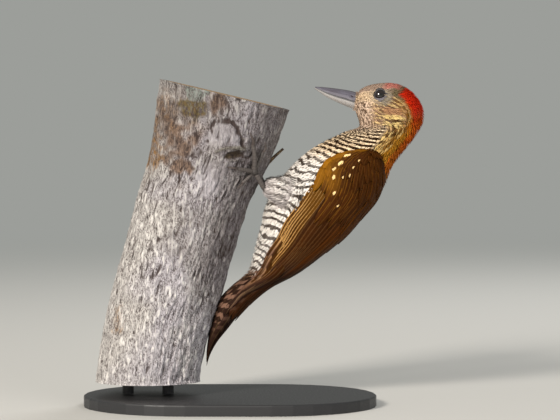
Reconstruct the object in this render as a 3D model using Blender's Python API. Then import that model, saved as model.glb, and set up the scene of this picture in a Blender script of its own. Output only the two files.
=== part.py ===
"""A small barred woodpecker, life size, clinging to a cut length of limb on a plain stand.

Run with: blender --background --python part.py
Sizes are in millimetres and become metres as each object is made.
The frame: +Z up, +X from the limb towards the bird's back, -Y the bird's left side.
The origin is the centre of the stand's underside.
"""

from math import acos, cos, exp, pi, radians, sin

import bmesh
import bpy
from mathutils import Matrix, Vector

MM = 0.001
GAP = 0.3  # between pieces that touch
FINE = 0.02  # a sliver, for faces that must not coincide
SHARP = radians(45)  # edges sharper than this stay sharp in shading

# The bird's outer form, plumage and folded wings included, as stations from the bill's root to
# the tail's tip. Each holds the dorsal point (x, z), the ventral point (x, z) and the half width.
STATIONS = (
    ((57.4, 141.3), (56.3, 133.2), 5.2),  # face at the bill
    ((61.2, 143.8), (57.2, 131.0), 8.0),  # forehead
    ((67.5, 145.1), (58.1, 128.3), 10.2),  # eyes
    ((75.2, 144.9), (58.5, 126.5), 11.8),  # crown
    ((81.9, 141.3), (58.5, 125.6), 12.3),  # hind crown
    ((86.6, 134.6), (57.6, 125.1), 12.3),  # nape
    ((86.9, 127.8), (55.8, 124.4), 12.3),
    ((82.8, 120.6), (52.2, 123.5), 12.8),  # neck
    ((77.0, 113.4), (46.8, 121.1), 14.0),
    ((72.5, 107.1), (39.6, 117.5), 16.0),  # shoulders
    ((70.2, 99.9), (32.0, 112.1), 17.5),  # breast
    ((66.2, 91.8), (25.2, 105.3), 18.2),
    ((59.4, 83.7), (18.5, 96.3), 18.0),  # belly
    ((51.8, 75.2), (14.9, 86.9), 16.8),
    ((41.4, 66.6), (14.0, 77.9), 14.8),
    ((30.6, 58.5), (12.2, 70.2), 12.0),  # rump
    ((18.9, 53.1), (9.5, 61.2), 9.6),  # root of the tail
    ((11.9, 47.9), (1.6, 54.8), 9.2),
    ((5.9, 41.9), (-5.3, 47.9), 9.0),
    ((-0.1, 35.0), (-7.9, 41.4), 8.6),
    ((-5.3, 28.9), (-9.5, 35.1), 7.4),
    ((-8.7, 23.0), (-10.7, 27.5), 5.2),
    ((-10.5, 17.6), (-11.3, 20.7), 2.4),  # tip of the tail
)
BODY_END, TAIL_START, TAIL_END = 17.6, 16.3, 22.0
STEPS_PER_STATION = 2
STATION_LENGTH = 7.0  # about how far apart the stations lie along a flank
AROUND = 32

# The folded wing: for each station along the body, the share of the way from the dorsal to the
# ventral line where its upper and its lower edge lie.
WING_EDGES = (
    (8.15, 0.34, 0.44),  # bend of the wing
    (8.6, 0.16, 0.62),
    (9.3, 0.06, 0.73),
    (10.0, 0.015, 0.76),
    (11.0, 0.002, 0.71),
    (12.0, 0.002, 0.68),
    (13.0, 0.002, 0.72),
    (14.0, 0.002, 0.73),
    (15.0, 0.002, 0.75),
    (16.0, 0.01, 0.70),
    (16.6, 0.12, 0.66),
    (17.2, 0.30, 0.61),
    (17.7, 0.44, 0.53),  # tips of the primaries
)
WING_THICK, WING_EDGE = 2.0, 0.7
WING_STEPS, WING_ACROSS = 23, 7
POCKET_ROOM = 0.4  # between a wing and the body under it
POCKET_SLOPE = 0.3  # how fast the body swells back to full width beside a wing
RUMP_DROP = 3.0  # how far the rump lies under the folded wings
RUMP_FROM, RUMP_GROWTH = 13.5, 2.2  # the station where it starts to sink, and over how many
RUMP_EDGE, RUMP_FADE = radians(120), radians(70)  # it fades down the flanks

# The bill, in shares of its length: height of the culmen, of the gape line and of the gonys
# above the bill's axis, and the half width.
BILL_ROOT = (56.35, 136.6)
BILL_LENGTH, BILL_RISE = 19.3, radians(19.9)
BILL_LEAN = 0.21  # the bill's root leans with the face
BILL_STEPS = 10
LOWER_BILL = 0.93  # width of the lower half over the upper one
BILL = (
    (0.00, 4.2, 0.0, -3.0, 3.7),
    (0.22, 3.8, -0.15, -2.9, 3.0),
    (0.45, 3.0, -0.45, -2.6, 2.3),
    (0.68, 2.1, -0.5, -2.1, 1.6),
    (0.86, 1.3, -0.3, -1.2, 1.0),
    (1.00, 0.55, 0.0, -0.5, 0.55),
)

EYE_RADIUS = 3.3
EYE_SIDES, EYE_RINGS = 16, 10
EYE = (67.3, -6.5, 139.9)

TAIL_THICK, TAIL_TIP_THICK = 1.9, 0.9
TAIL_UNDER_WINGS = 1.6  # how far the tail's root lies inside the wing tips
# How far round its own ring the tail's arch goes, in degrees, at each station.
TAIL_REACH = ((16.3, 96), (17.0, 112), (18.0, 140), (19.0, 140), (20.0, 125), (22.0, 95))
TAIL_STEPS, TAIL_ACROSS = 12, 10
WING_TIP, WING_TIP_FADE = 17.5, 0.8  # the station where the wing tips end, over the tail

# The undertail thins to a wedge inside the tail's arch.
VENT_FROM = 15.9
VENT_FLOOR = 0.1  # height of the wedge over the ventral line, as a share of the body's
VENT_FLAT, VENT_NARROW = 0.8, 0.55  # how flat and how narrow the wedge gets
VENT_EDGE, VENT_FADE = radians(178), radians(60)

# The limb, bottom to top: height, middle x, half width along x.
LIMB = (
    (11.0, -37.4, 23.6),
    (29.7, -34.4, 24.3),
    (47.7, -29.5, 25.4),
    (70.2, -23.2, 25.4),
    (92.7, -16.4, 26.3),
    (115.2, -7.7, 28.4),
    (137.7, -2.3, 30.6),
    (150.0, 1.0, 32.0),
)
LIMB_ROUND = 0.95  # its depth along y over its width
# Gentle lobes round the limb: strength, how many, twist with height, bearing.
LIMB_LOBES = ((0.012, 3, 0.02, 0.0), (0.008, 5, 0.0, -1.0))
LIMB_TOP = (-1.5, 140.0)  # the sawn top passes here, square to the limb
LIMB_TILT = radians(13.5)
LIMB_AROUND, LIMB_STEPS = 32, 18
KNOT = (119.5, radians(82), 9.0, 1.3)  # height, bearing, spread and rise of the branch scar
TWIG = ((16.6, 3.0, 108.8), (20.5, 3.2, 112.6), (24.0, 3.4, 115.7))
TWIG_RADII = (0.9, 0.7, 0.55)

# The left leg. Bearings turn from +X towards the bird's left.
HIP, HIP_RADIUS = (29.0, -10.0, 95.0), 8.6
KNEE, KNEE_RADIUS = (21.5, -13.0, 97.6), 6.4
ANKLE, ANKLE_RADIUS = (15.4, -14.6, 98.8), 3.4
SHANK_RADII, PAD_RADIUS = (1.25, 1.19, 1.25), 1.7
FOOT_HEIGHT, FOOT_BEARING = 106.0, radians(40)
# Each toe: its sideways turn round the limb, its rise, its root and tip radius.
TOES = (
    (radians(-1), 9.0, 1.15, 0.8),  # inner front toe
    (radians(15), 12.5, 1.2, 0.85),  # middle toe
    (radians(22), 1.6, 1.15, 0.8),  # outer toe, spread sideways
    (radians(7), -5.2, 1.0, 0.7),  # hind toe
)
TOE_SHARES = (0.0, 0.35, 0.7, 1.0)
TOE_HUMP = 0.35  # how far the middle of a toe stands off the bark
CLAW_START, CLAW_SHARE = 0.97, 0.42  # where a claw starts on the toe, and its length, in toes
CLAW_ROOT = 0.85  # claw over toe thickness where they meet
CLAW_LIFT, CLAW_ARCH = 0.5, 1.5
CLAW_TIP_RADIUS = 0.28
LEG_SIDES, TOE_SIDES = 8, 6

BASE_SIZE = (132.0, 94.0, 5.0)
BASE_CORNER, BASE_BEVEL, BASE_SEGMENTS = 47.0, 0.8, 8
ROD_RADIUS, ROD_SPOTS, ROD_SIDES = 2.6, ((-46.0, 0.0), (-28.0, 0.0)), 24


def spline(rows, at):
    """A smooth curve through equally counted rows of numbers, read at a row number."""
    last = len(rows) - 1
    at = min(max(at, 0.0), float(last))
    i = min(int(at), last - 1)
    t = at - i
    before, here = rows[max(i - 1, 0)], rows[i]
    there, after = rows[i + 1], rows[min(i + 2, last)]
    return [
        0.5
        * (
            2 * b
            + (c - a) * t
            + (2 * a - 5 * b + 4 * c - d) * t * t
            + (3 * b - a - 3 * c + d) * t * t * t
        )
        for a, b, c, d in zip(before, here, there, after)
    ]


def keyed(table, key):
    """The row of a table at a value of its first column, read with the same smooth curve."""
    for i in range(len(table) - 1):
        if key <= table[i + 1][0] or i == len(table) - 2:
            step = (key - table[i][0]) / (table[i + 1][0] - table[i][0])
            return spline(table, i + step)[1:]
    return list(table[-1][1:])


def smooth(value):
    value = min(max(value, 0.0), 1.0)
    return value * value * (3 - 2 * value)


FLAT_STATIONS = [(*dorsal, *ventral, half) for dorsal, ventral, half in STATIONS]


def envelope(u, turn, inset=0.0):
    """A point of the bird's outer form: u counts stations, turn runs from the dorsal line."""
    dx, dz, vx, vz, half = spline(FLAT_STATIONS, u)
    dorsal, ventral = Vector((dx, 0, dz)), Vector((vx, 0, vz))
    axis = (dorsal - ventral) / 2
    height = axis.length
    along = axis / height * (height - inset) * cos(turn)
    across = Vector((0, -(half - inset) * sin(turn), 0))
    return (dorsal + ventral) / 2 + along + across


def turn_at(share):
    """The turn from the dorsal line that lies a given share of the way down a ring."""
    return acos(1 - 2 * min(max(share, 0.0), 1.0))


def wing_edges(u):
    upper, lower = keyed(WING_EDGES, u)
    return turn_at(max(upper, 0.001)), turn_at(lower)


def wing_thickness(along, across):
    bulge = (max(sin(pi * along), 0.0) * max(sin(pi * across), 0.0)) ** 0.5
    return WING_EDGE + (WING_THICK - WING_EDGE) * bulge


def pocket(u, turn):
    """How far the body lies inside the outer form, to leave room for a folded wing."""
    turn = abs(turn)
    first, last = WING_EDGES[0][0], WING_EDGES[-1][0]
    upper, lower = wing_edges(min(max(u, first), last))
    half = spline(FLAT_STATIONS, u)[4]
    beside = max(upper - turn, turn - lower, 0.0) * half
    before = max(first - u, 0.0) * STATION_LENGTH
    away = (beside**2 + before**2) ** 0.5
    if away > 0:
        depth = max(0.0, WING_EDGE + POCKET_ROOM - POCKET_SLOPE * away)
    else:
        along = (u - first) / (last - first)
        depth = POCKET_ROOM + wing_thickness(along, (turn - upper) / (lower - upper))
    sinking = smooth((u - RUMP_FROM) / RUMP_GROWTH) * smooth((RUMP_EDGE - turn) / RUMP_FADE)
    return depth + RUMP_DROP * sinking


def vent(u, turn, inset):
    """The undertail: from the vent backwards only the belly side of the body goes on."""
    share = smooth((u - VENT_FROM) / (BODY_END - VENT_FROM))
    point = envelope(u, turn, inset)
    dorsal, ventral = envelope(u, 0.0), envelope(u, pi)
    floor = ventral + (dorsal - ventral) * VENT_FLOOR
    narrow = 1 - VENT_NARROW * share
    flat = Vector((floor.x, point.y * narrow, floor.z))
    return point.lerp(flat, VENT_FLAT * share * smooth((VENT_EDGE - abs(turn)) / VENT_FADE))


def skin_over(rings):
    """A closed mesh over a row of rings that all hold the same number of points."""
    shape = bmesh.new()
    rows = [[shape.verts.new(point * MM) for point in ring] for ring in rings]
    for row, following in zip(rows, rows[1:]):
        for i in range(len(row)):
            j = (i + 1) % len(row)
            shape.faces.new((row[i], row[j], following[j], following[i]))
    shape.faces.new(rows[0])
    shape.faces.new(rows[-1])
    bmesh.ops.recalc_face_normals(shape, faces=shape.faces)
    return shape


def steps(start, end, count):
    return [start + (end - start) * i / count for i in range(count + 1)]


def tube(points, radii, sides=LEG_SIDES):
    """A round tapering tube along a few points."""
    rows = [(*p, r) for p, r in zip(points, radii)]
    count = max(len(rows) + 1, 4)
    places = [spline(rows, at) for at in steps(0, len(rows) - 1, count)]
    rings, side = [], None
    for i, place in enumerate(places):
        ahead = Vector(places[min(i + 1, count)][:3]) - Vector(places[max(i - 1, 0)][:3])
        ahead.normalize()
        side = ahead.orthogonal() if side is None else side - ahead * side.dot(ahead)
        side.normalize()
        other = ahead.cross(side)
        turns = [2 * pi * k / sides for k in range(sides)]
        centre, radius = Vector(place[:3]), place[3]
        rings.append([centre + (side * cos(a) + other * sin(a)) * radius for a in turns])
    return skin_over(rings)


def material(name, colour, roughness, metallic=0.0):
    made = bpy.data.materials.get(name)
    if made is None:
        made = bpy.data.materials.new(name)
        made.use_nodes = True
        shader = made.node_tree.nodes["Principled BSDF"]
        shader.inputs["Base Color"].default_value = (*colour, 1.0)
        shader.inputs["Roughness"].default_value = roughness
        shader.inputs["Metallic"].default_value = metallic
        made.diffuse_color = (*colour, 1.0)
    return made


def add(name, shape, finish=None):
    """Turns a bmesh into a named object with a smooth-shaded mesh."""
    mesh = bpy.data.meshes.new(name)
    shape.to_mesh(mesh)
    shape.free()
    mesh.shade_smooth()
    mesh.set_sharp_from_angle(angle=SHARP)
    placed = bpy.data.objects.new(name, mesh)
    bpy.context.scene.collection.objects.link(placed)
    if finish:
        mesh.materials.append(material(*finish))
    return placed


def helper(name, shape):
    """An object that only cuts or joins others."""
    made = add(name, shape)
    made.hide_render = True
    made.display_type = "WIRE"
    return made


def combine(target, operation, *others):
    for other in others:
        step = target.modifiers.new(f"{operation.lower()} {other.name}", "BOOLEAN")
        step.operation = operation
        step.object = other


def kept(shape, place, normal):
    """The side of a closed shape that a plane's normal points to, closed again."""
    everything = shape.verts[:] + shape.edges[:] + shape.faces[:]
    cut = bmesh.ops.bisect_plane(
        shape,
        geom=everything,
        plane_co=Vector(place) * MM,
        plane_no=normal,
        clear_inner=True,
        dist=1e-7,
    )
    rim = [e for e in cut["geom_cut"] if isinstance(e, bmesh.types.BMEdge)]
    bmesh.ops.holes_fill(shape, edges=rim, sides=len(rim))
    bmesh.ops.recalc_face_normals(shape, faces=shape.faces)
    return shape


FEATHER_PALE = ("barred_plumage", (0.55, 0.49, 0.42), 0.85)
FEATHER_FACE = ("head_plumage", (0.5, 0.32, 0.2), 0.85)
FEATHER_NAPE = ("neck_plumage", (0.42, 0.2, 0.05), 0.85)
FEATHER_WING = ("wing_plumage", (0.13, 0.06, 0.01), 0.6)
FEATHER_TAIL = ("tail_plumage", (0.03, 0.015, 0.008), 0.6)
HORN = ("bill_horn", (0.23, 0.22, 0.26), 0.4)
HORN_LOW = ("bill_horn_pale", (0.38, 0.36, 0.35), 0.4)
EYE_DARK = ("eye_dark", (0.02, 0.012, 0.01), 0.05)
FOOT_SKIN = ("foot_skin", (0.16, 0.14, 0.12), 0.6)
BARK = ("bark", (0.4, 0.35, 0.33), 0.9)
STAND = ("stand_paint", (0.12, 0.12, 0.12), 0.5)


def body_form(growth=0.0):
    """The body from face to tail root as one closed mesh, grown by some millimetres."""
    turns = [2 * pi * k / AROUND for k in range(AROUND)]
    count = int(BODY_END * STEPS_PER_STATION)
    rings = []
    for u in steps(0.0, BODY_END, count):
        ring = []
        for turn in turns:
            signed = turn if turn <= pi else turn - 2 * pi
            ring.append(vent(u, signed, pocket(u, signed) - growth))
        rings.append(ring)
    return skin_over(rings)


def between(low, high):
    """The plane through two points of the middle plane: a place and its upward normal."""
    (x0, z0), (x1, z1) = low, high
    return (x0, 0, z0), Vector((z0 - z1, 0, x1 - x0)).normalized()


NECK_TOP = between((57.9, 125.3), (87.0, 131.0))
NECK_FOOT = between((44.5, 122.0), (77.4, 114.0))


def offset(plane, distance):
    place, normal = plane
    return Vector(place) + normal * distance, normal


def build_body():
    """Head, neck and trunk, parted by thin flat cuts."""
    place, up = offset(NECK_TOP, GAP / 2)
    head = add("head", kept(body_form(), place, up), FEATHER_FACE)
    place, up = offset(NECK_TOP, -GAP / 2)
    neck_shape = kept(body_form(), place, -up)
    place, up = offset(NECK_FOOT, GAP / 2)
    add("neck", kept(neck_shape, place, up), FEATHER_NAPE)
    place, up = offset(NECK_FOOT, -GAP / 2)
    add("trunk", kept(body_form(), place, -up), FEATHER_PALE)
    return head


def build_eyes(head):
    for side, sign in (("left", 1), ("right", -1)):
        x, y, z = EYE
        centre = Matrix.Translation(Vector((x, y * sign, z)) * MM)
        outward = Matrix.Rotation(radians(90), 4, "X")
        for name, radius in ((f"eye_{side}", EYE_RADIUS), (f"socket_{side}", EYE_RADIUS + GAP)):
            ball = bmesh.new()
            bmesh.ops.create_uvsphere(
                ball,
                u_segments=EYE_SIDES,
                v_segments=EYE_RINGS,
                radius=radius * MM,
                matrix=centre @ outward,
            )
            if name.startswith("eye"):
                add(name, ball, EYE_DARK)
            else:
                combine(head, "DIFFERENCE", helper(name, ball))


def bill_ring(share, top, bottom, half):
    """One section across a mandible, a blunt ridge on one side and a flat on the other."""
    ahead = Vector((-cos(BILL_RISE), 0, sin(BILL_RISE)))
    up = Vector((sin(BILL_RISE), 0, cos(BILL_RISE)))
    root = Vector((BILL_ROOT[0], 0, BILL_ROOT[1]))
    rise = top - bottom
    outline = [(1.0, 0.0), (0.97, 0.3), (0.72, 0.68), (0.34, 0.94), (0.0, 1.0)]
    outline += [(-side, high) for side, high in reversed(outline[:-1])]
    ring = []
    for side, high in outline:
        height = bottom + rise * high
        forward = share * BILL_LENGTH + (1 - share) * BILL_LEAN * height
        ring.append(root + ahead * forward + up * height + Vector((0, side * half, 0)))
    return ring


def build_bill():
    upper, lower = [], []
    for share in steps(0.0, 1.0, BILL_STEPS):
        culmen, gape, gonys, half = keyed(BILL, share)
        upper.append(bill_ring(share, culmen, gape + GAP / 2, half))
        lower.append(bill_ring(share, gonys, gape - GAP / 2, half * LOWER_BILL))
    add("bill_upper", skin_over(upper), HORN)
    add("bill_lower", skin_over(lower), HORN_LOW)


def wing_form(sign, growth=0.0):
    first, last = WING_EDGES[0][0], WING_EDGES[-1][0]
    rings = []
    for along in steps(0.0, 1.0, WING_STEPS):
        u = first + (last - first) * along
        upper, lower = wing_edges(u)
        outer, inner = [], []
        for across in steps(0.0, 1.0, WING_ACROSS):
            turn = (upper + (lower - upper) * across) * sign
            thick = wing_thickness(along, across)
            outer.append(envelope(u, turn, -growth))
            inner.append(envelope(u, turn, thick + growth))
        rings.append(outer + inner[::-1])
    return skin_over(rings)


def build_wings():
    for side, sign in (("left", 1), ("right", -1)):
        add(f"wing_{side}", wing_form(sign), FEATHER_WING)


def build_tail():
    """An arch of stiff feathers, its open side to the limb."""
    rings = []
    for u in steps(TAIL_START, TAIL_END, TAIL_STEPS):
        share = (u - TAIL_START) / (TAIL_END - TAIL_START)
        inside = TAIL_UNDER_WINGS * (1 - smooth((u - WING_TIP) / WING_TIP_FADE))
        thick = TAIL_THICK + (TAIL_TIP_THICK - TAIL_THICK) * share
        reach = radians(keyed(TAIL_REACH, u)[0])
        turns = steps(-reach, reach, TAIL_ACROSS)
        outer = [envelope(u, turn, inside) for turn in turns]
        inner = [envelope(u, turn, inside + thick) for turn in reversed(turns)]
        rings.append(outer + inner)
    add("tail", skin_over(rings), FEATHER_TAIL)


def limb_radius(height, bearing):
    """The limb's half width along x at a height and bearing, with its gentle swellings."""
    knot_height, knot_bearing, spread, rise = KNOT
    radius = keyed(LIMB, height)[1]
    lobes = 1.0
    for strength, count, twist, start in LIMB_LOBES:
        lobes += strength * cos(count * bearing + twist * height + start)
    away = ((height - knot_height) ** 2 + (radius * (bearing - knot_bearing)) ** 2) / spread**2
    return radius * lobes + rise * exp(-away)


def limb_point(height, bearing, lift=0.0):
    middle = keyed(LIMB, height)[0]
    reach = limb_radius(height, bearing)
    x = middle + (reach + lift) * cos(bearing)
    y = -(reach * LIMB_ROUND + lift) * sin(bearing)
    return Vector((x, y, height))


def build_limb():
    rings = []
    for height in steps(LIMB[0][0], LIMB[-1][0], LIMB_STEPS):
        bearings = [2 * pi * k / LIMB_AROUND - pi for k in range(LIMB_AROUND)]
        rings.append([limb_point(height, bearing) for bearing in bearings])
    top = (LIMB_TOP[0], 0, LIMB_TOP[1])
    down = Vector((-sin(LIMB_TILT), 0, -cos(LIMB_TILT)))
    limb = add("perch_limb", kept(skin_over(rings), top, down), BARK)
    combine(limb, "UNION", helper("twig", tube(TWIG, TWIG_RADII)))


def toe_points(side, turn, rise, root, tip):
    """The middle line of a toe and of its claw over the bark, and their radii."""
    toe, toe_radii = [], []
    for share in TOE_SHARES:
        radius = root + (tip - root) * share
        bearing = (FOOT_BEARING + turn * share) * side
        hump = TOE_HUMP * sin(pi * share)
        lift = GAP + radius + hump
        toe.append(limb_point(FOOT_HEIGHT + rise * share, bearing, lift))
        toe_radii.append(radius)
    claw, claw_radii = [], []
    for share in TOE_SHARES:
        on = CLAW_START + CLAW_SHARE * share
        thick = tip * CLAW_ROOT
        radius = thick + (CLAW_TIP_RADIUS - thick) * share
        bearing = (FOOT_BEARING + turn * on) * side
        arch = (tip * CLAW_LIFT + CLAW_ARCH * sin(pi * share)) * (1 - share)
        lift = GAP + radius + arch
        claw.append(limb_point(FOOT_HEIGHT + rise * on, bearing, lift))
        claw_radii.append(radius)
    return (toe, toe_radii), (claw, claw_radii)


def build_leg(name, side):
    """Thigh, shank and foot; side is 1 for the bird's left and -1 for its right."""
    mirrored = [Vector((x, y * side, z)) for x, y, z in (HIP, KNEE, ANKLE)]
    hip, knee, ankle = mirrored
    thigh = add(
        f"thigh_{name}",
        tube((hip, knee, ankle), (HIP_RADIUS, KNEE_RADIUS, ANKLE_RADIUS)),
        FEATHER_PALE,
    )
    combine(thigh, "DIFFERENCE", helper(f"body_room_{name}", body_form(GAP)))
    combine(thigh, "DIFFERENCE", helper(f"wing_room_{name}", wing_form(side, GAP)))

    pad = limb_point(FOOT_HEIGHT, FOOT_BEARING * side, GAP + PAD_RADIUS)
    toward = (ankle - pad).normalized()
    start = pad + toward * (PAD_RADIUS + GAP)
    leg_line = (ankle - knee).normalized()
    bend = ankle + leg_line * (GAP + SHANK_RADII[0])
    add(
        f"shank_{name}",
        tube((bend, (bend + start) / 2, start), SHANK_RADII),
        FOOT_SKIN,
    )
    ball = bmesh.new()
    centre = Matrix.Translation(pad * MM)
    bmesh.ops.create_icosphere(ball, subdivisions=2, radius=PAD_RADIUS * MM, matrix=centre)
    foot = add(f"foot_{name}", ball, FOOT_SKIN)
    for number, toe in enumerate(TOES, start=1):
        for part, (points, radii) in zip(("toe", "claw"), toe_points(side, *toe)):
            combine(foot, "UNION", helper(f"{part}_{number}_{name}", tube(points, radii, TOE_SIDES)))


def build_stand():
    length, depth, thick = BASE_SIZE
    plate = bmesh.new()
    size = Matrix.Diagonal((length * MM, depth * MM, thick * MM, 1))
    lift = Matrix.Translation((0, 0, thick * MM / 2))
    bmesh.ops.create_cube(plate, size=1.0, matrix=lift @ size)
    uprights = [e for e in plate.edges if abs(e.verts[0].co.z - e.verts[1].co.z) > thick * MM / 2]
    bmesh.ops.bevel(
        plate,
        geom=uprights,
        offset=(BASE_CORNER - FINE) * MM,
        affect="EDGES",
        segments=BASE_SEGMENTS,
        profile=0.5,
        material=-1,
    )
    rim = [e for e in plate.edges if abs(e.verts[0].co.z - e.verts[1].co.z) < 1e-9]
    rim = [e for e in rim if e.verts[0].co.z > thick * MM / 2 and len(e.link_faces) == 2]
    bmesh.ops.bevel(
        plate,
        geom=rim,
        offset=BASE_BEVEL * MM,
        affect="EDGES",
        segments=2,
        profile=0.5,
        material=-1,
    )
    add("stand_base", plate, STAND)
    for number, (x, y) in enumerate(ROD_SPOTS, start=1):
        low, high = thick + GAP, LIMB[0][0] - GAP
        rod = bmesh.new()
        bmesh.ops.create_cone(
            rod,
            cap_ends=True,
            segments=ROD_SIDES,
            radius1=ROD_RADIUS * MM,
            radius2=ROD_RADIUS * MM,
            depth=(high - low) * MM,
            matrix=Matrix.Translation(Vector((x, y, (low + high) / 2)) * MM),
        )
        add(f"stand_rod_{number}", rod, STAND)


def main():
    for old in list(bpy.data.objects):
        bpy.data.objects.remove(old)
    head = build_body()
    build_eyes(head)
    build_bill()
    build_wings()
    build_tail()
    build_limb()
    build_leg("left", 1)
    build_leg("right", -1)
    build_stand()


main()
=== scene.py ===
from math import cos, pi, radians, sin, tau
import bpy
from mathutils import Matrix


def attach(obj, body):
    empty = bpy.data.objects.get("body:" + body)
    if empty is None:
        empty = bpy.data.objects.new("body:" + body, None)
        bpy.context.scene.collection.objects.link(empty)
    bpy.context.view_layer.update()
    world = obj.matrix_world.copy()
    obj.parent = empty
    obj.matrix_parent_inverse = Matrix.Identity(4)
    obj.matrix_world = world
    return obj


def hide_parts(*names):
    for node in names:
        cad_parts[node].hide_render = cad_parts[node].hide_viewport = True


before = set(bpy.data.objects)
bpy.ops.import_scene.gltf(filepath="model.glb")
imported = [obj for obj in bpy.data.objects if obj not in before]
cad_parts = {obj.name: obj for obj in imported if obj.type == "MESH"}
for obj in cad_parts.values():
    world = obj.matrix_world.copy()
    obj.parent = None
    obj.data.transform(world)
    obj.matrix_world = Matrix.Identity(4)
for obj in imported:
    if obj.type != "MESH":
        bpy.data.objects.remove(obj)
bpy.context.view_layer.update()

from types import SimpleNamespace

import bmesh
import bpy
import numpy as np
from bpy.props import FloatProperty, FloatVectorProperty, IntProperty, PointerProperty
from mathutils import Matrix, Vector, kdtree
from mathutils.bvhtree import BVHTree

bl_info = {
    "name": "Barred Woodpecker",
    "version": (1, 0, 0),
    "blender": (4, 5, 0),
    "location": "View3D > Sidebar > Woodpecker",
    "description": "Dresses a life-size woodpecker on a cut limb with skin, feathers, bark and stand",
    "category": "Object",
}

MM = 0.001
FLESH = ("head", "neck", "trunk", "thigh_left", "thigh_right")
SIDES = {"left": 1, "right": -1}

# ---------------------------------------------------------------------------------------------
# The bird's outer form, in millimetres: the dorsal point (x, z), the ventral point (x, z) and
# the half width at each station from the bill's root to the tail's tip.
# ---------------------------------------------------------------------------------------------

STATIONS = np.array(
    (
        (57.4, 141.3, 56.3, 133.2, 5.2),
        (61.2, 143.8, 57.2, 131.0, 8.0),
        (67.5, 145.1, 58.1, 128.3, 10.2),
        (75.2, 144.9, 58.5, 126.5, 11.8),
        (81.9, 141.3, 58.5, 125.6, 12.3),
        (86.6, 134.6, 57.6, 125.1, 12.3),
        (86.9, 127.8, 55.8, 124.4, 12.3),
        (82.8, 120.6, 52.2, 123.5, 12.8),
        (77.0, 113.4, 46.8, 121.1, 14.0),
        (72.5, 107.1, 39.6, 117.5, 16.0),
        (70.2, 99.9, 32.0, 112.1, 17.5),
        (66.2, 91.8, 25.2, 105.3, 18.2),
        (59.4, 83.7, 18.5, 96.3, 18.0),
        (51.8, 75.2, 14.9, 86.9, 16.8),
        (41.4, 66.6, 14.0, 77.9, 14.8),
        (30.6, 58.5, 12.2, 70.2, 12.0),
        (18.9, 53.1, 9.5, 61.2, 9.6),
        (11.9, 47.9, 1.6, 54.8, 9.2),
        (5.9, 41.9, -5.3, 47.9, 9.0),
        (-0.1, 35.0, -7.9, 41.4, 8.6),
        (-5.3, 28.9, -9.5, 35.1, 7.4),
        (-8.7, 23.0, -10.7, 27.5, 5.2),
        (-10.5, 17.6, -11.3, 20.7, 2.4),
    )
)
BODY_END = 17.6
TAIL_TIP = 22.0

# The folded wing's upper and lower edge, as shares of the way down each station's ring.
WING_EDGES = np.array(
    (
        (8.15, 0.34, 0.44),
        (8.6, 0.16, 0.62),
        (9.3, 0.06, 0.73),
        (10.0, 0.015, 0.76),
        (11.0, 0.002, 0.71),
        (12.0, 0.002, 0.68),
        (13.0, 0.002, 0.72),
        (14.0, 0.002, 0.73),
        (15.0, 0.002, 0.75),
        (16.0, 0.01, 0.70),
        (16.6, 0.12, 0.66),
        (17.2, 0.30, 0.61),
        (17.7, 0.44, 0.53),
    )
)


def spline(rows, at):
    """Smooth curves through the rows of a table, read at an array of row numbers."""
    last = len(rows) - 1
    at = np.clip(np.asarray(at, float), 0.0, float(last))
    i = np.minimum(at.astype(int), last - 1)
    t = (at - i)[..., None]
    a, b = rows[np.maximum(i - 1, 0)], rows[i]
    c, d = rows[i + 1], rows[np.minimum(i + 2, last)]
    slope = (c - a) * t + (2 * a - 5 * b + 4 * c - d) * t**2 + (3 * b - a - 3 * c + d) * t**3
    return 0.5 * (2 * b + slope)


def chart(u, turn, inset=0.0):
    """Points of the bird's outer form: u counts stations, turn runs from the dorsal line."""
    u, turn, inset = np.broadcast_arrays(*(np.asarray(v, float) for v in (u, turn, inset)))
    dx, dz, vx, vz, half = np.moveaxis(spline(STATIONS, u), -1, 0)
    ax, az = (dx - vx) / 2, (dz - vz) / 2
    height = np.hypot(ax, az)
    reach = (height - inset) / height * np.cos(turn)
    x = (dx + vx) / 2 + ax * reach
    z = (dz + vz) / 2 + az * reach
    y = -(half - inset) * np.sin(turn)
    return np.stack((x, y, z), axis=-1) * MM


def turn_at(share):
    """The turn from the dorsal line that lies a given share of the way down a ring."""
    return np.arccos(1 - 2 * np.clip(share, 0.0, 1.0))


def wing_spot(u, share):
    """The turn at a share of the way down from the folded wing's upper to its lower edge."""
    keys = WING_EDGES[:, 0]
    rows = np.interp(u, keys, np.arange(len(keys)))
    edges = spline(WING_EDGES, rows)
    upper, lower = turn_at(edges[..., 1]), turn_at(edges[..., 2])
    return upper + (lower - upper) * share


def smooth(value):
    value = np.clip(value, 0.0, 1.0)
    return value * value * (3 - 2 * value)


def rise(value, start, width):
    """Nothing below start, one past start + width, and smooth between."""
    return smooth((value - start) / width)


def fall(value, end, width):
    """Nothing above end, one below end - width, and smooth between."""
    return smooth((end - value) / width)


def band(value, low, high, soft):
    """One inside low to high, nothing outside, with soft borders."""
    return smooth((value - low) / soft + 0.5) * smooth((high - value) / soft + 0.5)


# ---------------------------------------------------------------------------------------------
# Settings
# ---------------------------------------------------------------------------------------------


def tint(name, description, red, green, blue):
    """A colour setting, given as the 8-bit values that a painter's swatch shows."""
    swatch = [v / 255 for v in (red, green, blue)]
    linear = [v / 12.92 if v <= 0.04045 else ((v + 0.055) / 1.055) ** 2.4 for v in swatch]
    return FloatVectorProperty(
        name=name, description=description, default=linear, size=3, min=0, max=1, subtype="COLOR"
    )


def length(name, description, millimetres):
    return FloatProperty(
        name=name,
        description=description,
        default=millimetres * MM,
        min=0.0,
        unit="LENGTH",
        subtype="DISTANCE",
    )


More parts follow.
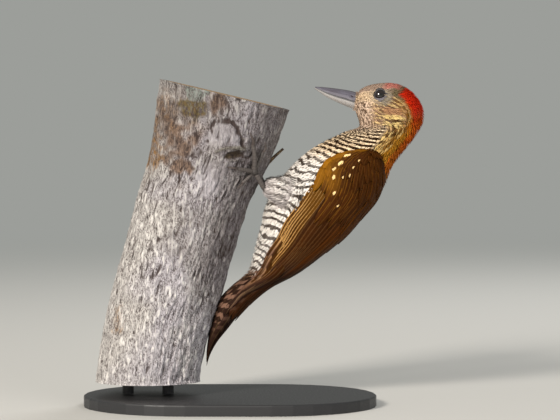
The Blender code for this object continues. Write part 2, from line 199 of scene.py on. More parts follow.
class PlumageSettings(bpy.types.PropertyGroup):
    seed: IntProperty(name="Seed", description="Start of the random draws", default=7, min=0)
    body_depth: length("Body Coat Depth", "Depth of the coat on the trunk", 1.5)
    face_depth: length("Face Coat Depth", "Depth of the coat round the bill", 0.45)
    vent_puff: length("Vent Puff", "How far the feathers before the vent are fluffed out", 1.3)
    body_spacing: length("Body Feather Spacing", "Between feathers of the breast", 1.35)
    head_spacing: length("Head Feather Spacing", "Between feathers of the crown", 0.75)
    face_spacing: length("Face Feather Spacing", "Between feathers round the bill", 0.55)
    forehead: tint("Forehead", "Forehead, greyish pink", 172, 146, 128)
    crown: tint("Crown", "Olive grey of the hind crown", 112, 98, 72)
    crown_tip: tint("Crown Tips", "Red tips of the crown feathers", 214, 126, 114)
    nape: tint("Nape", "Red of the nape", 204, 42, 16)
    nape_low: tint("Nape Border", "Orange below the red of the nape", 196, 110, 28)
    hindneck: tint("Hindneck", "Golden brown of the hindneck", 172, 118, 34)
    mantle: tint("Mantle", "Dark olive brown of the back", 104, 66, 18)
    lore: tint("Lores", "Buff between bill and eye", 222, 194, 160)
    ear: tint("Ear Coverts", "Buff brown behind the eye", 168, 134, 106)
    ear_patch: tint("Ear Patch", "Warm brown patch behind the eye", 176, 128, 92)
    eye_ring: tint("Eye Ring", "Olive grey feathers round the eye", 138, 130, 116)
    streak_pale: tint("Pale Streaks", "Pale yellow streaks of the face", 240, 208, 138)
    streak_dark: tint("Dark Streaks", "Dark streaks of the face and neck", 76, 48, 24)
    throat: tint("Throat", "Pale ground of the throat", 228, 200, 176)
    neck: tint("Neck", "Golden buff of the neck's side", 188, 154, 100)
    breast: tint("Breast", "Buff ground of the breast", 246, 220, 184)
    belly: tint("Belly", "White ground of the belly", 248, 241, 234)
    bar: tint("Bars", "Dark bars of breast and belly", 60, 42, 27)
    thigh: tint("Thigh", "Grey white of the thigh", 196, 187, 186)
    vent: tint("Vent", "Brown of the undertail", 122, 90, 68)
    eye_skin: tint("Eye Skin", "Bare grey skin round the eye", 112, 108, 114)


class WingSettings(bpy.types.PropertyGroup):
    covert: tint("Coverts", "Dark brown of the coverts", 64, 32, 4)
    covert_gold: tint("Golden Coverts", "Golden coverts near the wing's edge", 150, 98, 16)
    covert_spot: tint("Covert Spots", "Pale spots on the coverts", 250, 214, 150)
    quill: tint("Flight Feathers", "Dark brown of the flight feathers", 58, 28, 4)
    quill_edge: tint("Flight Edges", "Golden edges of the primaries", 190, 144, 84)
    tertial: tint("Tertials", "Warm dark brown of the tertials", 74, 37, 3)
    tail: tint("Tail", "Blackish brown of the tail", 44, 27, 20)
    tail_bar: tint("Tail Bars", "Pinkish brown bars of the outer tail", 126, 94, 78)


class HornSettings(bpy.types.PropertyGroup):
    bill_upper: tint("Upper Bill", "Blue grey horn", 100, 97, 109)
    bill_lower: tint("Lower Bill", "Paler horn", 172, 168, 166)
    # also the painted shade along the gape and in the nostril
    bill_dark: tint("Bill Shade", "Dark line along the gape and in the nostril", 52, 40, 44)
    iris: tint("Iris", "Dark brown iris", 26, 14, 12)
    foot: tint("Foot Skin", "Grey scaly skin", 90, 83, 80)
    claw: tint("Claws", "Dark horn", 72, 62, 58)


class LimbSettings(bpy.types.PropertyGroup):
    bark: tint("Bark", "Pale cream grey bark", 211, 205, 201)
    # laid on the limb's right, away from the key lamp, as painted shade
    bark_cool: tint("Cool Bark", "Lavender grey bark", 203, 197, 203)
    fleck: tint("Bark Flecks", "Pale flecks on the ridges of the bark", 246, 241, 236)
    # also the colour of the painted shade in the fissures and the scar, and on the limb's right side and
    # top
    bark_shade: tint("Bark Fissures", "Dark brown in the fissures", 62, 48, 44)
    bark_warm: tint("Warm Bark", "Browner stretches of the bark", 152, 126, 108)
    ochre: tint("Ochre Lichen", "Orange brown crust", 160, 120, 70)
    lip: tint("Scar Lip", "Pale lip under the branch scar", 176, 172, 150)
    lichen: tint("Lichen", "Pale bluish lichen", 178, 192, 184)
    moss: tint("Moss", "Olive moss", 122, 110, 50)
    wood: tint("Cut Wood", "Sawn ends", 192, 164, 128)
    wood_ring: tint("Growth Rings", "Rings in the sawn ends", 140, 98, 62)
    relief: length("Bark Relief", "Depth of the fissures", 1.5)


class StageSettings(bpy.types.PropertyGroup):
    paint: tint("Stand Paint", "Dark matt paint of the stand", 44, 44, 46)
    floor: tint("Floor", "Plain pale floor", 206, 204, 200)
    backdrop: tint("Backdrop", "Plain light beyond the floor", 156, 158, 154)
    distance: length("Camera Distance", "From the bird to the camera", 1400.0)


# ---------------------------------------------------------------------------------------------
# Materials
# ---------------------------------------------------------------------------------------------


class Level:
    """A number that varies over a surface. Adding or multiplying it adds a node."""

    def __init__(self, paint, socket):
        self.paint = paint
        self.socket = socket

    def __add__(self, other):
        return self.paint.math("ADD", self, other)

    def __sub__(self, other):
        return self.paint.math("SUBTRACT", self, other)

    def __rsub__(self, other):
        return self.paint.math("SUBTRACT", other, self)

    def __mul__(self, other):
        return self.paint.math("MULTIPLY", self, other)

    def __truediv__(self, other):
        return self.paint.math("DIVIDE", self, other)

    def __pow__(self, power):
        return self.paint.math("POWER", self, power)

    def __abs__(self):
        return self.paint.math("ABSOLUTE", self)


class Paint:
    """A material being built from nodes, with short calls for the nodes used here."""

    def __init__(self, name, roughness, **finish):
        self.material = bpy.data.materials.new(name)
        self.material.use_nodes = True
        self.nodes = self.material.node_tree.nodes
        self.links = self.material.node_tree.links
        self.shader = self.nodes["Principled BSDF"]
        self.rough(roughness)
        for socket, value in finish.items():
            self.shader.inputs[socket.replace("_", " ")].default_value = value

    def put(self, socket, value):
        """Links a node's output to a socket, or sets the socket to a plain value."""
        if isinstance(value, Level):
            value = value.socket
        if isinstance(value, bpy.types.NodeSocket):
            self.links.new(value, socket)
        elif socket.type == "RGBA":
            socket.default_value = (*value, 1.0)
        else:
            socket.default_value = value

    def node(self, kind, values, output=0, **settings):
        """Adds a node with its settings, fills its sockets and gives one of its outputs."""
        node = self.nodes.new(f"ShaderNode{kind}")
        for setting, value in settings.items():
            setattr(node, setting, value)
        for socket, value in values.items():
            self.put(node.inputs[socket], value)
        return node.outputs[output]

    def vertex_colour(self, name):
        return self.node("Attribute", {}, "Color", attribute_name=name)

    def vertex_numbers(self, name):
        """The three numbers that a mesh's vertices hold under one name."""
        vector = self.node("Attribute", {}, "Vector", attribute_name=name)
        first = self.node("SeparateXYZ", {0: vector})
        return [Level(self, output) for output in first.node.outputs]

    def join(self, x, y, z):
        return self.node("CombineXYZ", {0: x, 1: y, 2: z})

    def math(self, operation, *values):
        return Level(self, self.node("Math", dict(enumerate(values)), operation=operation))

    def highest(self, first, *others):
        for other in others:
            first = self.math("MAXIMUM", first, other)
        return first

    def ramp(self, value, low, high, out_low=0.0, out_high=1.0):
        """A smooth step from out_low at low to out_high at high."""
        values = dict(enumerate((value, low, high, out_low, out_high)))
        return Level(self, self.node("MapRange", values, interpolation_type="SMOOTHSTEP"))

    def mix(self, share, first, second, blend="MIX"):
        colours = {0: share, 6: first, 7: second}
        return self.node("Mix", colours, 2, data_type="RGBA", blend_type=blend, clamp_factor=True)

    def layered(self, colour, *layers):
        """A colour with others laid over it in turn, each by its share."""
        for over, share in layers:
            colour = self.mix(share, colour, over)
        return colour

    def shaded(self, colour, shade):
        """A colour made darker or lighter."""
        return self.mix(1.0, colour, self.join(shade, shade, shade), "MULTIPLY")

    def place(self, scale=(1.0, 1.0, 1.0), turn=(0.0, 0.0, 0.0)):
        """Object coordinates, stretched and turned."""
        source = self.node("TexCoord", {}, "Object")
        return self.node("Mapping", {"Vector": source, "Rotation": turn, "Scale": scale})

    def noise(self, vector, scale, detail=3.0, roughness=0.5):
        values = {"Vector": vector, "Scale": scale, "Detail": detail, "Roughness": roughness}
        return Level(self, self.node("TexNoise", values, "Fac"))

    def wave(self, vector, scale, distortion=0.0):
        values = {"Vector": vector, "Scale": scale, "Distortion": distortion}
        return Level(self, self.node("TexWave", values, "Fac", bands_direction="X"))

    def bump(self, height, strength, distance):
        values = {"Height": height, "Strength": strength, "Distance": distance}
        self.put(self.shader.inputs["Normal"], self.node("Bump", values))

    def colour(self, value):
        self.put(self.shader.inputs["Base Color"], value)

    def rough(self, value):
        self.put(self.shader.inputs["Roughness"], value)


SHAFT_TINT = (0.5, 0.34, 0.14)


def plumage_material(name, gloss):
    """Feather vanes: ground and mark colours, bars, shaft, barbs, and painted shade towards the root."""
    paint = Paint(name, 0.85 - 0.35 * gloss, Specular_IOR_Level=0.06)
    across, along, tone = paint.vertex_numbers("vane")
    phase, barring, shaft = paint.vertex_numbers("pattern")
    side = abs(across)
    grain = paint.noise(paint.place(), 900.0, 2.0)

    wander = phase + grain * 0.16 - 0.08
    extra = paint.highest(barring - 1.0, 0.0)
    cycle = paint.math("PINGPONG", wander, 0.5) + extra * 0.2
    barred = paint.ramp(cycle, 0.285, 0.345) * barring
    rachis = paint.ramp(side, 0.12, 0.03) * shaft
    marked = (paint.vertex_colour("mark"), barred)
    colour = paint.layered(paint.vertex_colour("ground"), marked, (SHAFT_TINT, rachis))

    barbs = paint.wave(paint.join(along - side * 0.5, tone, 0.0), 14.0, 1.2)
    shade = paint.ramp(barbs, 0.0, 1.0, 0.86, 1.1) * paint.ramp(grain, 0.3, 0.7, 0.9, 1.1)
    # painted shade: each vane darkens towards its root, where the feathers over it overlap
    root = paint.ramp(along, 0.1, 0.5, 0.65, 1.0)
    paint.colour(paint.shaded(colour, shade * (tone * 0.26 + 0.87) * root))
    paint.bump(barbs + rachis * 2.0, 0.35, 0.06 * MM)
    return paint.material


def skin_material():
    """Down and bare skin under the coat; the down carries the plumage colours darkened as painted shade.
    """
    paint = Paint("down_and_skin", 0.9)
    grain = paint.noise(paint.place(), 1400.0)
    paint.colour(paint.shaded(paint.vertex_colour("ground"), paint.ramp(grain, 0.2, 0.8, 0.75, 1.1)))
    paint.bump(grain, 0.5, 0.1 * MM)
    return paint.material


def plain_material(name):
    """Ground colour straight from the vertices."""
    paint = Paint(name, 0.8)
    paint.colour(paint.vertex_colour("ground"))
    return paint.material


def bill_material(look):
    """Horn with fine streaks, a darker ridge, and painted shade along the gape and in the nostril."""
    paint = Paint("bill_horn", 0.32, Coat_Weight=0.25, Coat_Roughness=0.2)
    high, along, upper = paint.vertex_numbers("horn")
    fibre = paint.noise(paint.join(along * 2.5, high * 16.0, upper), 1.0)
    streaked = paint.ramp(fibre, 0.4, 0.65) * (upper * 0.25 + 0.25)
    ridge = paint.ramp(high, 0.93, 0.985) * upper * 0.7
    # painted shade along the gape between the two halves, and in the nostril's pit
    gape = paint.ramp(high, 0.16, 0.04) * 0.85
    from_nostril = ((along - NOSTRIL[0]) / 0.035) ** 2.0 + ((high - NOSTRIL[1]) / 0.07) ** 2.0
    hole = paint.ramp(from_nostril, 1.3, 0.7) * upper
    colour = paint.layered(
        look.bill_lower,
        (look.bill_upper, upper),
        (look.bill_dark, streaked),
        (look.bill_dark, paint.highest(ridge, gape, hole)),
    )
    paint.colour(colour)
    paint.bump(fibre, 0.2, 0.05 * MM)
    return paint.material


PUPIL, IRIS_RIM, LID_SHADE = (0.004, 0.003, 0.003), (0.01, 0.007, 0.006), (0.012, 0.01, 0.01)


def eye_material(look):
    """Black pupil, dark iris and darker rim, by the angle from the eye's axis."""
    paint = Paint("eye_dark", 0.08, Coat_Weight=1.0, Coat_Roughness=0.03)
    gaze = paint.vertex_numbers("gaze")[0]
    iris = (look.iris, paint.ramp(gaze, 0.3, 0.36))
    paint.colour(paint.layered(PUPIL, iris, (IRIS_RIM, paint.ramp(gaze, 0.6, 0.68))))
    return paint.material


def lid_material(skin):
    paint = Paint("eye_lid", 0.6)
    grain = paint.noise(paint.place(), 3000.0)
    paint.colour(paint.mix(paint.ramp(grain, 0.3, 0.7, 0.4, 0.9), skin, LID_SHADE))
    paint.bump(grain, 0.5, 0.1 * MM)
    return paint.material


def foot_material(look):
    """Grey skin, darker in the creases between its scutes."""
    paint = Paint("foot_skin", 0.6)
    wave = paint.vertex_numbers("scale")[0]
    grain = paint.noise(paint.place(), 2500.0)
    shade = paint.ramp(wave, 0.0, 0.4, 0.45, 1.0) * paint.ramp(grain, 0.3, 0.7, 0.8, 1.15)
    paint.colour(paint.shaded(look.foot, shade))
    paint.bump(grain, 0.4, 0.1 * MM)
    return paint.material


def claw_material(look):
    paint = Paint("claw_horn", 0.35, Coat_Weight=0.3)
    paint.colour(look.claw)
    return paint.material


def bark_material(look):
    """Bark with what grows on it, its stains and painted shade, and timber on the sawn ends."""
    paint = Paint("bark", 0.9)
    dark, cool, lip = paint.vertex_numbers("bark")
    lichen, moss, ring = paint.vertex_numbers("growth")
    # the third of these numbers is painted shade: the limb's right side, its top, a band at mid height
    # and a patch by the foot
    ochre, warm, painted_shade = paint.vertex_numbers("stain")
    grain = paint.noise(paint.place((1.0, 1.0, 0.45)), 900.0, 4.0, 0.6)
    streaks = paint.noise(paint.place((1.0, 1.0, 0.3), (0.0, LIMB_LEAN, 0.0)), 640.0, 4.0, 0.65)
    broad = paint.noise(paint.place(), 60.0, 2.0)
    rugged = paint.math("MINIMUM", lip * 0.75 + 1.0, 1.0)

    # greys and browns of the bare bark; the bark's lavender grey lies on the right, away from the key
    # lamp, as painted shade
    colour = paint.layered(
        look.bark,
        (look.bark_cool, cool * paint.ramp(broad, 0.35, 0.6, 0.5, 1.0)),
        (look.bark_warm, warm),
        (look.ochre, ochre * paint.ramp(grain, 0.35, 0.6)),
    )
    colour = paint.shaded(colour, paint.ramp(grain, 0.25, 0.75, 0.72, 1.18))

    # pale flecks where nothing grows, lichen, fissures with painted shade, moss, pits, fine cracks, and
    # painted shade on the limb's right side and top
    bare = ((1.0 - paint.highest(ochre, warm, moss)) * 0.7 + 0.3) * rugged
    cushion = paint.mix(paint.ramp(grain, 0.5, 0.66, 0.0, 0.6), look.moss, look.ochre)
    pits = paint.highest(warm, moss) * paint.ramp(grain, 0.47, 0.4, 0.0, 0.75)
    slits = paint.highest(paint.ramp(abs(streaks - 0.49), 0.036, 0.004), paint.ramp(streaks, 0.42, 0.35))
    colour = paint.layered(
        colour,
        (look.fleck, paint.ramp(streaks, 0.55, 0.66, 0.0, 0.9) * bare),
        (look.lip, lip * 0.75),
        (look.lichen, lichen * paint.ramp(grain, 0.3, 0.5) * 0.9),
        # painted shade in the fissures, the scar's groove and its hollow, over the fissures' own dark
        # brown
        (look.bark_shade, paint.ramp(dark, 0.5, 0.95, 0.0, 0.92)),
        (cushion, moss * paint.ramp(grain, 0.38, 0.52) * 0.95),
        (look.bark_shade, pits),
        (look.bark_shade, slits * paint.ramp(dark, 0.1, 0.4, 0.45, 0.95) * rugged),
        # painted shade on the limb's right side, over its top and by the foot
        (look.bark_shade, painted_shade * 0.62),
    )

    # sawn ends, where ring runs from the pith at 0 to the bark at 1
    rings = paint.wave(paint.join(ring, 0.0, 0.0), 11.0)
    timber = paint.layered(
        look.wood,
        (look.wood_ring, paint.ramp(rings, 0.3, 0.9, 0.0, 0.7)),
        (look.wood_ring, paint.ramp(grain, 0.3, 0.8, 0.0, 0.3)),
        (look.bark_shade, paint.ramp(ring, 0.93, 0.97)),
    )
    paint.colour(paint.mix(paint.ramp(ring, 1.2, 1.1), colour, timber))
    paint.bump(grain + streaks * 2.5, 1.0, 1.0 * MM)
    return paint.material


def stand_material(look):
    paint = Paint("stand_paint", 0.5)
    grain = paint.noise(paint.place(), 1200.0)
    paint.colour(look.paint)
    paint.rough(paint.ramp(grain, 0.3, 0.7, 0.42, 0.55))
    paint.bump(grain, 0.15, 0.08 * MM)
    return paint.material


# How far from its middle the floor begins to fade into the backdrop, and where it is gone.
FADE_FROM, FADE_TO = 0.25, 1.6


def floor_material(look):
    """Plain paper that fades into the light of the backdrop."""
    paint = Paint("floor_paper", 0.9, Specular_IOR_Level=0.1)
    paint.colour(look.floor)
    away = paint.node("VectorMath", {0: paint.place()}, "Value", operation="LENGTH")
    glow = paint.node("Emission", {"Color": look.backdrop})
    shaders = {0: paint.ramp(away, FADE_FROM, FADE_TO), 1: paint.shader.outputs[0], 2: glow}
    mixed = paint.node("MixShader", shaders)
    paint.put(paint.nodes["Material Output"].inputs[0], mixed)
    return paint.material


# ---------------------------------------------------------------------------------------------
# Meshes
# ---------------------------------------------------------------------------------------------


def finish(name, mesh, material, slot, replaced=()):
    """Links a finished mesh as a piece of the model's one body."""
    piece = bpy.data.objects.new(name, mesh)
    bpy.context.scene.collection.objects.link(piece)
    mesh.materials.clear()
    mesh.materials.append(material)
    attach(piece, "root")
    if replaced:
        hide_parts(*replaced)


def kept_mesh(name, shape):
    """Turns a bmesh into a mesh."""
    mesh = bpy.data.meshes.new(name)
    shape.to_mesh(mesh)
    shape.free()
    return mesh


def solid(name, shape, angle=60):
    """A mesh from a bmesh, smooth-shaded up to an angle."""
    bmesh.ops.recalc_face_normals(shape, faces=shape.faces)
    mesh = kept_mesh(name, shape)
    mesh.shade_smooth()
    mesh.set_sharp_from_angle(angle=radians(angle))
    return mesh


def points_of(mesh):
    places = np.empty(len(mesh.vertices) * 3)
    mesh.vertices.foreach_get("co", places)
    return places.reshape(-1, 3)


def move_points(mesh, points):
    mesh.vertices.foreach_set("co", np.ascontiguousarray(points, float).ravel())
    mesh.update()


def set_attribute(mesh, name, kind, values):
    layer = mesh.attributes.new(name, kind, "POINT")
    field = {"FLOAT_COLOR": "color", "FLOAT_VECTOR": "vector"}[kind]
    layer.data.foreach_set(field, np.ascontiguousarray(values, float).ravel())


def set_colour(mesh, name, colours):
    opaque = np.concatenate((colours, np.ones((len(colours), 1))), axis=1)
    set_attribute(mesh, name, "FLOAT_COLOR", opaque)


def set_uv(mesh, uv):
    """Gives the bake map one place for each vertex."""
    layer = mesh.uv_layers.new(name="OFBake")
    corners = np.empty(len(mesh.loops), dtype=np.int32)
    mesh.loops.foreach_get("vertex_index", corners)
    layer.data.foreach_set("uv", np.ascontiguousarray(uv[corners], float).ravel())


def gathered(shapes):
    """One bmesh from several, which are freed."""
    whole = bmesh.new()
    for shape in shapes:
        held = kept_mesh("held", shape)
        whole.from_mesh(held)
        bpy.data.meshes.remove(held)
    return whole


def joined(name, shapes):
    """One mesh from several closed bmeshes."""
    for shape in shapes:
        bmesh.ops.recalc_face_normals(shape, faces=shape.faces)
    return solid(name, gathered(shapes))


def node_shape(name, grow):
    """A merged copy of a CAD node, grown a little so that neighbours overlap."""
    shape = bmesh.new()
    shape.from_mesh(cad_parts[name].data)
    bmesh.ops.remove_doubles(shape, verts=shape.verts, dist=1e-6)
    shape.normal_update()
    for vert in shape.verts:
        vert.co += vert.normal * grow
    return shape


def remeshed(nodes, voxel, grow, rounds):
    """One closed, relaxed mesh round several CAD nodes."""
    mesh = kept_mesh("joined", gathered([node_shape(name, grow) for name in nodes]))
    holder = bpy.data.objects.new("joined", mesh)
    bpy.context.scene.collection.objects.link(holder)
    step = holder.modifiers.new("remesh", "REMESH")
    step.mode = "VOXEL"
    step.voxel_size = voxel
    ready = holder.evaluated_get(bpy.context.evaluated_depsgraph_get())
    result = bpy.data.meshes.new_from_object(ready)
    bpy.data.objects.remove(holder)
    bpy.data.meshes.remove(mesh)
    shape = bmesh.new()
    shape.from_mesh(result)
    for _ in range(rounds):
        bmesh.ops.smooth_vert(
            shape, verts=shape.verts, factor=0.5, use_axis_x=True, use_axis_y=True, use_axis_z=True
        )
    shape.to_mesh(result)
    shape.free()
    return result


def unit_grid(across, along):
    """A flat grid, and its points from 0 to 1 both ways."""
    shape = bmesh.new()
    bmesh.ops.create_grid(shape, x_segments=across, y_segments=along, size=0.5)
    return shape, np.array([(v.co.x + 0.5, v.co.y + 0.5) for v in shape.verts]).T


def sheet(across, along, place, thick):
    """A thin closed sheet: place(s, t) gives the points of its face."""
    shape, grid = unit_grid(across, along)
    for vert, point in zip(shape.verts, place(*grid)):
        vert.co = point
    bmesh.ops.solidify(shape, geom=shape.faces[:], thickness=thick)
    return solid("sheet", shape)


def wrapped(around, along, place, values=None, cap=True):
    """A closed tube: place(s, t) gives its points, s once round and t from end to end.

    values(s, t) gives named sets of three numbers for the tube's vertices to hold.
    """
    shape, grid = unit_grid(around, along)
    points = place(*grid)
    layers = {}
    for name, made in (values(*grid) if values else {}).items():
        layers[name] = (shape.verts.layers.float_vector.new(name), made)
    for k, vert in enumerate(shape.verts):
        vert.co = points[k]
        for layer, made in layers.values():
            vert[layer] = made[k]
    bmesh.ops.remove_doubles(shape, verts=shape.verts, dist=1e-7)
    if cap:
        bmesh.ops.holes_fill(shape, edges=[e for e in shape.edges if e.is_boundary], sides=0)
    return shape


def tube_place(line, radii):
    """Points round a smooth line of given radii, for wrapped()."""
    rows = np.concatenate((np.array(line, float), np.array(radii, float)[:, None]), axis=1)

    def place(s, t):
        at = t * (len(rows) - 1)
        middle = spline(rows, at)
        ahead = unit(spline(rows[:, :3], at + 0.02) - spline(rows[:, :3], at - 0.02))[0]
        side = unit(np.cross(ahead, (0.0, 0.0, 1.0)))[0]
        up = np.cross(side, ahead)
        round_ = side * np.cos(tau * s)[:, None] + up * np.sin(tau * s)[:, None]
        return (middle[:, :3] + round_ * middle[:, 3:]) * MM

    return place


# How the flesh is joined: voxel and growth in metres, and rounds of smoothing.
FORM_FLESH, SKIN_FLESH = (0.6 * MM, 0.2 * MM, 6), (0.7 * MM, 0.2 * MM, 4)
# Stations and degrees between the chart's places, and how far past one of them it is read.
CHART_STEP, CHART_TURN, CHART_REACH = 0.1, 6.0, 0.06


class Form:
    """The bird's smooth outer form, for rooting feathers: nearest points, and its chart."""

    def __init__(self):
        shape = bmesh.new()
        shape.from_mesh(remeshed((*FLESH, "eye_left", "eye_right"), *FORM_FLESH))
        bmesh.ops.triangulate(shape, faces=shape.faces)
        self.tree = BVHTree.FromBMesh(shape)
        self.corners = np.array([[v.co[:] for v in face.verts] for face in shape.faces])
        shape.free()
        us = np.arange(0.0, BODY_END + 0.6, CHART_STEP)
        turns = np.radians(np.arange(-180.0, 180.0, CHART_TURN))
        self.us, self.turns = (g.ravel() for g in np.meshgrid(us, turns, indexing="ij"))
        self.places = chart(self.us, self.turns)
        self.lookup = lookup(self.places)
        self.flow, self.pace = self.slope(0.05, 0.0)
        self.round, self.girth = self.slope(0.0, 0.05)
        self.skew = np.clip((self.flow * self.round).sum(1), -0.9, 0.9)

    def slope(self, on, round_):
        """The way and the length of a step of the chart, on by stations or round by turn."""
        ahead = chart(self.us + on, self.turns + round_)
        way, long = unit(ahead - chart(self.us - on, self.turns - round_))
        return way, np.maximum(long / (2 * (on + round_)), 1e-4)

    def steps(self, points, i):
        """How many stations on, and how much turn on, points lie from places of the chart."""
        away = points - self.places[i]
        ahead, aside = (away * self.flow[i]).sum(-1), (away * self.round[i]).sum(-1)
        skew = self.skew[i]
        square = 1 - skew**2
        return (
            (ahead - skew * aside) / square / self.pace[i],
            (aside - skew * ahead) / square / self.girth[i],
        )

    def read(self, points):
        """Stations and turns at points, and the chart's place nearest to each."""
        i = np.array([self.lookup.find(point)[1] for point in points])
        steps = self.steps(points, i)
        on, round_ = (np.clip(step, -CHART_REACH, CHART_REACH) for step in steps)
        return self.us[i] + on, self.turns[i] + round_, i

    def nearest(self, points):
        """The nearest places on the form, and the way out of it there."""
        found = [self.tree.find_nearest(point)[:2] for point in points]
        return np.array([f[0][:] for f in found]), np.array([f[1][:] for f in found])

    def scatter(self, count, rng):
        """Random points all over the form."""
        a, b, c = (self.corners[:, k] for k in range(3))
        area = np.linalg.norm(np.cross(b - a, c - a), axis=1)
        picks = rng.choice(len(area), size=count, p=area / area.sum())
        s, t = rng.random(count), rng.random(count)
        flip = s + t > 1
        s[flip], t[flip] = 1 - s[flip], 1 - t[flip]
        return a[picks] + (b - a)[picks] * s[:, None] + (c - a)[picks] * t[:, None]


KEPT = {}


def form():
    """The one form, made when it is first needed."""
    if "form" not in KEPT:
        KEPT["form"] = Form()
    return KEPT["form"]


def unit(vectors):
    """Directions and lengths of vectors."""
    lengths = np.linalg.norm(vectors, axis=-1)
    return vectors / np.maximum(lengths, 1e-12)[..., None], lengths


def lookup(points):
    tree = kdtree.KDTree(len(points))
    for i, point in enumerate(points):
        tree.insert(point, i)
    tree.balance()
    return tree


def spaced(points, reach):
    """Picks points in order, leaving out those that lie within reach of one picked before."""
    near = lookup(points)
    free = np.ones(len(points), bool)
    picked = []
    for i, point in enumerate(points):
        if free[i]:
            picked.append(i)
            for _, j, _ in near.find_range(point, reach[i]):
                free[j] = False
    return np.array(picked)


def waver(x, y, seed=0.0, period=1e9):
    """Smooth random numbers from -1 to 1 over a plane, repeating along x if asked."""
    left, low = np.floor(x), np.floor(y)
    across, up = smooth(x - left), smooth(y - low)

    def corner(i, j):
        value = np.sin(np.mod(left + i, period) * 127.1 + (low + j) * 311.7 + seed * 74.7) * 43758.5453
        return 2 * (value - np.floor(value)) - 1

    first = corner(0, 0) + (corner(1, 0) - corner(0, 0)) * across
    second = corner(0, 1) + (corner(1, 1) - corner(0, 1)) * across
    return first + (second - first) * up


# ---------------------------------------------------------------------------------------------
# Markings of the body, by place. Stations 0 to 3 are the face and crown, 3 to 8 the nape and
# neck, 8 to 12 the breast and back, 12 to 17 the belly and rump, and 17 to 22 the tail.
# ---------------------------------------------------------------------------------------------


# Dark bars between the chin and each station.
BAR_RATE = (
    *(0.0, 1.0, 2.4, 3.4, 4.6, 6.2, 8.8, 11.7, 14.6, 17.3),
    *(19.9, 22.5, 25.3, 28.0, 30.6, 33.1, 36.0, 39.0, 42.0),
)


def bar_count(u, turn):
    """Bars counted from the chin, with a slow waver across the body."""
    wander = 0.5 * waver(turn * 2.6, u * 0.9, 5.0) + 0.26 * waver(turn * 8.0, u * 1.6, 6.0)
    wander = wander * (0.45 + 0.55 * rise(u, 7.0, 3.0))
    return np.interp(u, np.arange(len(BAR_RATE)), BAR_RATE) + wander


def blend(first, second, amount):
    """Colours from first to second, by amounts from 0 to 1."""
    first, second = np.asarray(first), np.asarray(second)
    return first + (second - first) * np.clip(amount, 0.0, 1.0)[..., None]


def layered(ground, *layers):
    """A ground with colours laid over it in turn, each by its amount."""
    for colour, amount in layers:
        ground = blend(ground, colour, amount)
    return ground


def flat(colour, count):
    """The same colour for every place."""
    return np.tile(np.array(colour), (count, 1))


def ear_lie(places):
    """How much places in millimetres belong to the side of the head, where feathers lie back."""
    x, y, z = places[..., 0], np.abs(places[..., 1]), places[..., 2]
    return fall(x, 80.5, 5) * rise(x, 61, 4) * rise(z, 124, 4) * rise(y, 4, 4)


# The lie of the feathers on the side of the head, back and a little down.
BACK, DOWN = 0.94, 0.34
BACKWARD = np.array((BACK, 0.0, -DOWN))
STREAK_SPACING = 1.5
# Heights in millimetres of the patch behind the eye and of the streaks below it.
EAR_PATCH = (131.4, 134.4)
GOLD_STREAKS = ((129.5, 131.0), (126.0, 127.9))
DARK_STREAK = (128.2, 129.2)
BEHIND_EYE = (68.2, 77.5)


def places_of(u, turn, rng):
    """All that the markings depend on, at each place of the body."""
    spots = chart(u, turn) / MM
    x, z = spots[:, 0], spots[:, 2]
    share = (1 - np.cos(turn)) / 2
    down = share + 0.04 * waver(u * 1.7, turn * 3.0, 1.0) + 0.02 * (rng.random(len(u)) - 0.5)
    return SimpleNamespace(
        count=len(u),
        u=u,
        turn=turn,
        x=x,
        z=z,
        share=share,
        down=down,
        ear=ear_lie(spots),
        from_eye=eye_distance(spots * MM),
        speckle=smooth(waver(x * 1.1, z * 1.1, 9.0) / 0.25),
        tuft=rng.random(len(u)),
    )


def underside(at, look):
    """Ground colour and barring from throat to vent."""
    ground = layered(
        flat(look.throat, at.count),
        (look.breast, rise(at.u, 5.0, 2.0)),
        (look.belly, rise(at.u, 8.6, 1.6) * rise(at.down, 0.4, 0.2)),
        (look.vent, rise(at.u, 15.3, 0.8)),
    )
    barring = rise(at.u, 4.6, 0.8) * rise(at.down, 0.32, 0.1)
    uneven = 0.86 + 0.14 * waver(at.turn * 5.0, at.u * 1.1, 8.0) + 0.6 * fall(at.u, 9.6, 1.5)
    return ground, barring * uneven


def streaks(at):
    """Fine streaks along the lie of the feathers, from -1 to 1."""
    back, up = BACK * at.x - DOWN * at.z, DOWN * at.x + BACK * at.z
    lines = up / STREAK_SPACING + 0.45 * waver(back / 3.0, up / 3.0, 2.0)
    lines = np.sin(tau * lines + 0.02 * back)
    flows = np.sin(tau * (at.share * 14.0 + 0.4 * waver(at.u * 2.1, at.share * 9.0, 2.0)))
    return flows + (lines - flows) * at.ear


def side_of_head(at, look):
    """The streaked ear and side of the neck, and how much of each place they cover."""
    lowest = np.interp(at.u, (3.0, 5.0, 6.5, 8.0, 9.8), (0.72, 0.62, 0.5, 0.4, 0.3))
    cover = band(at.down, 0.14, lowest, 0.1)
    cover = np.maximum(cover * rise(at.u, 2.5, 0.8) * fall(at.u, 9.8, 1.4), 0.9 * at.ear)
    height = at.z + 0.35 * waver(at.x / 2.2, at.z / 2.0, 17.0) + 0.05 * (at.x - 73.0)
    behind = band(at.x, *BEHIND_EYE, 2.4) * at.ear
    patch = behind * band(height, *EAR_PATCH, 1.0)
    gold = sum(band(height, *streak, 0.7) for streak in GOLD_STREAKS)
    streak = streaks(at)
    pale = rise(streak, 0.15, 0.35) * (0.62 - 0.12 * at.ear - 0.3 * patch)
    dark = rise(-streak, 0.3, 0.2) * (0.95 - 0.25 * at.ear - 0.4 * patch)
    tone = layered(
        flat(look.ear, at.count),
        (look.neck, fall(at.z, 129, 6)),
        (look.streak_pale, pale),
        (look.streak_dark, dark),
        (look.ear_patch, 0.75 * patch),
        (look.streak_pale, 0.95 * behind * gold),
        (look.streak_dark, 0.9 * behind * band(height, *DARK_STREAK, 0.6)),
    )
    return tone, cover * rise(at.u, 1.6, 0.8)


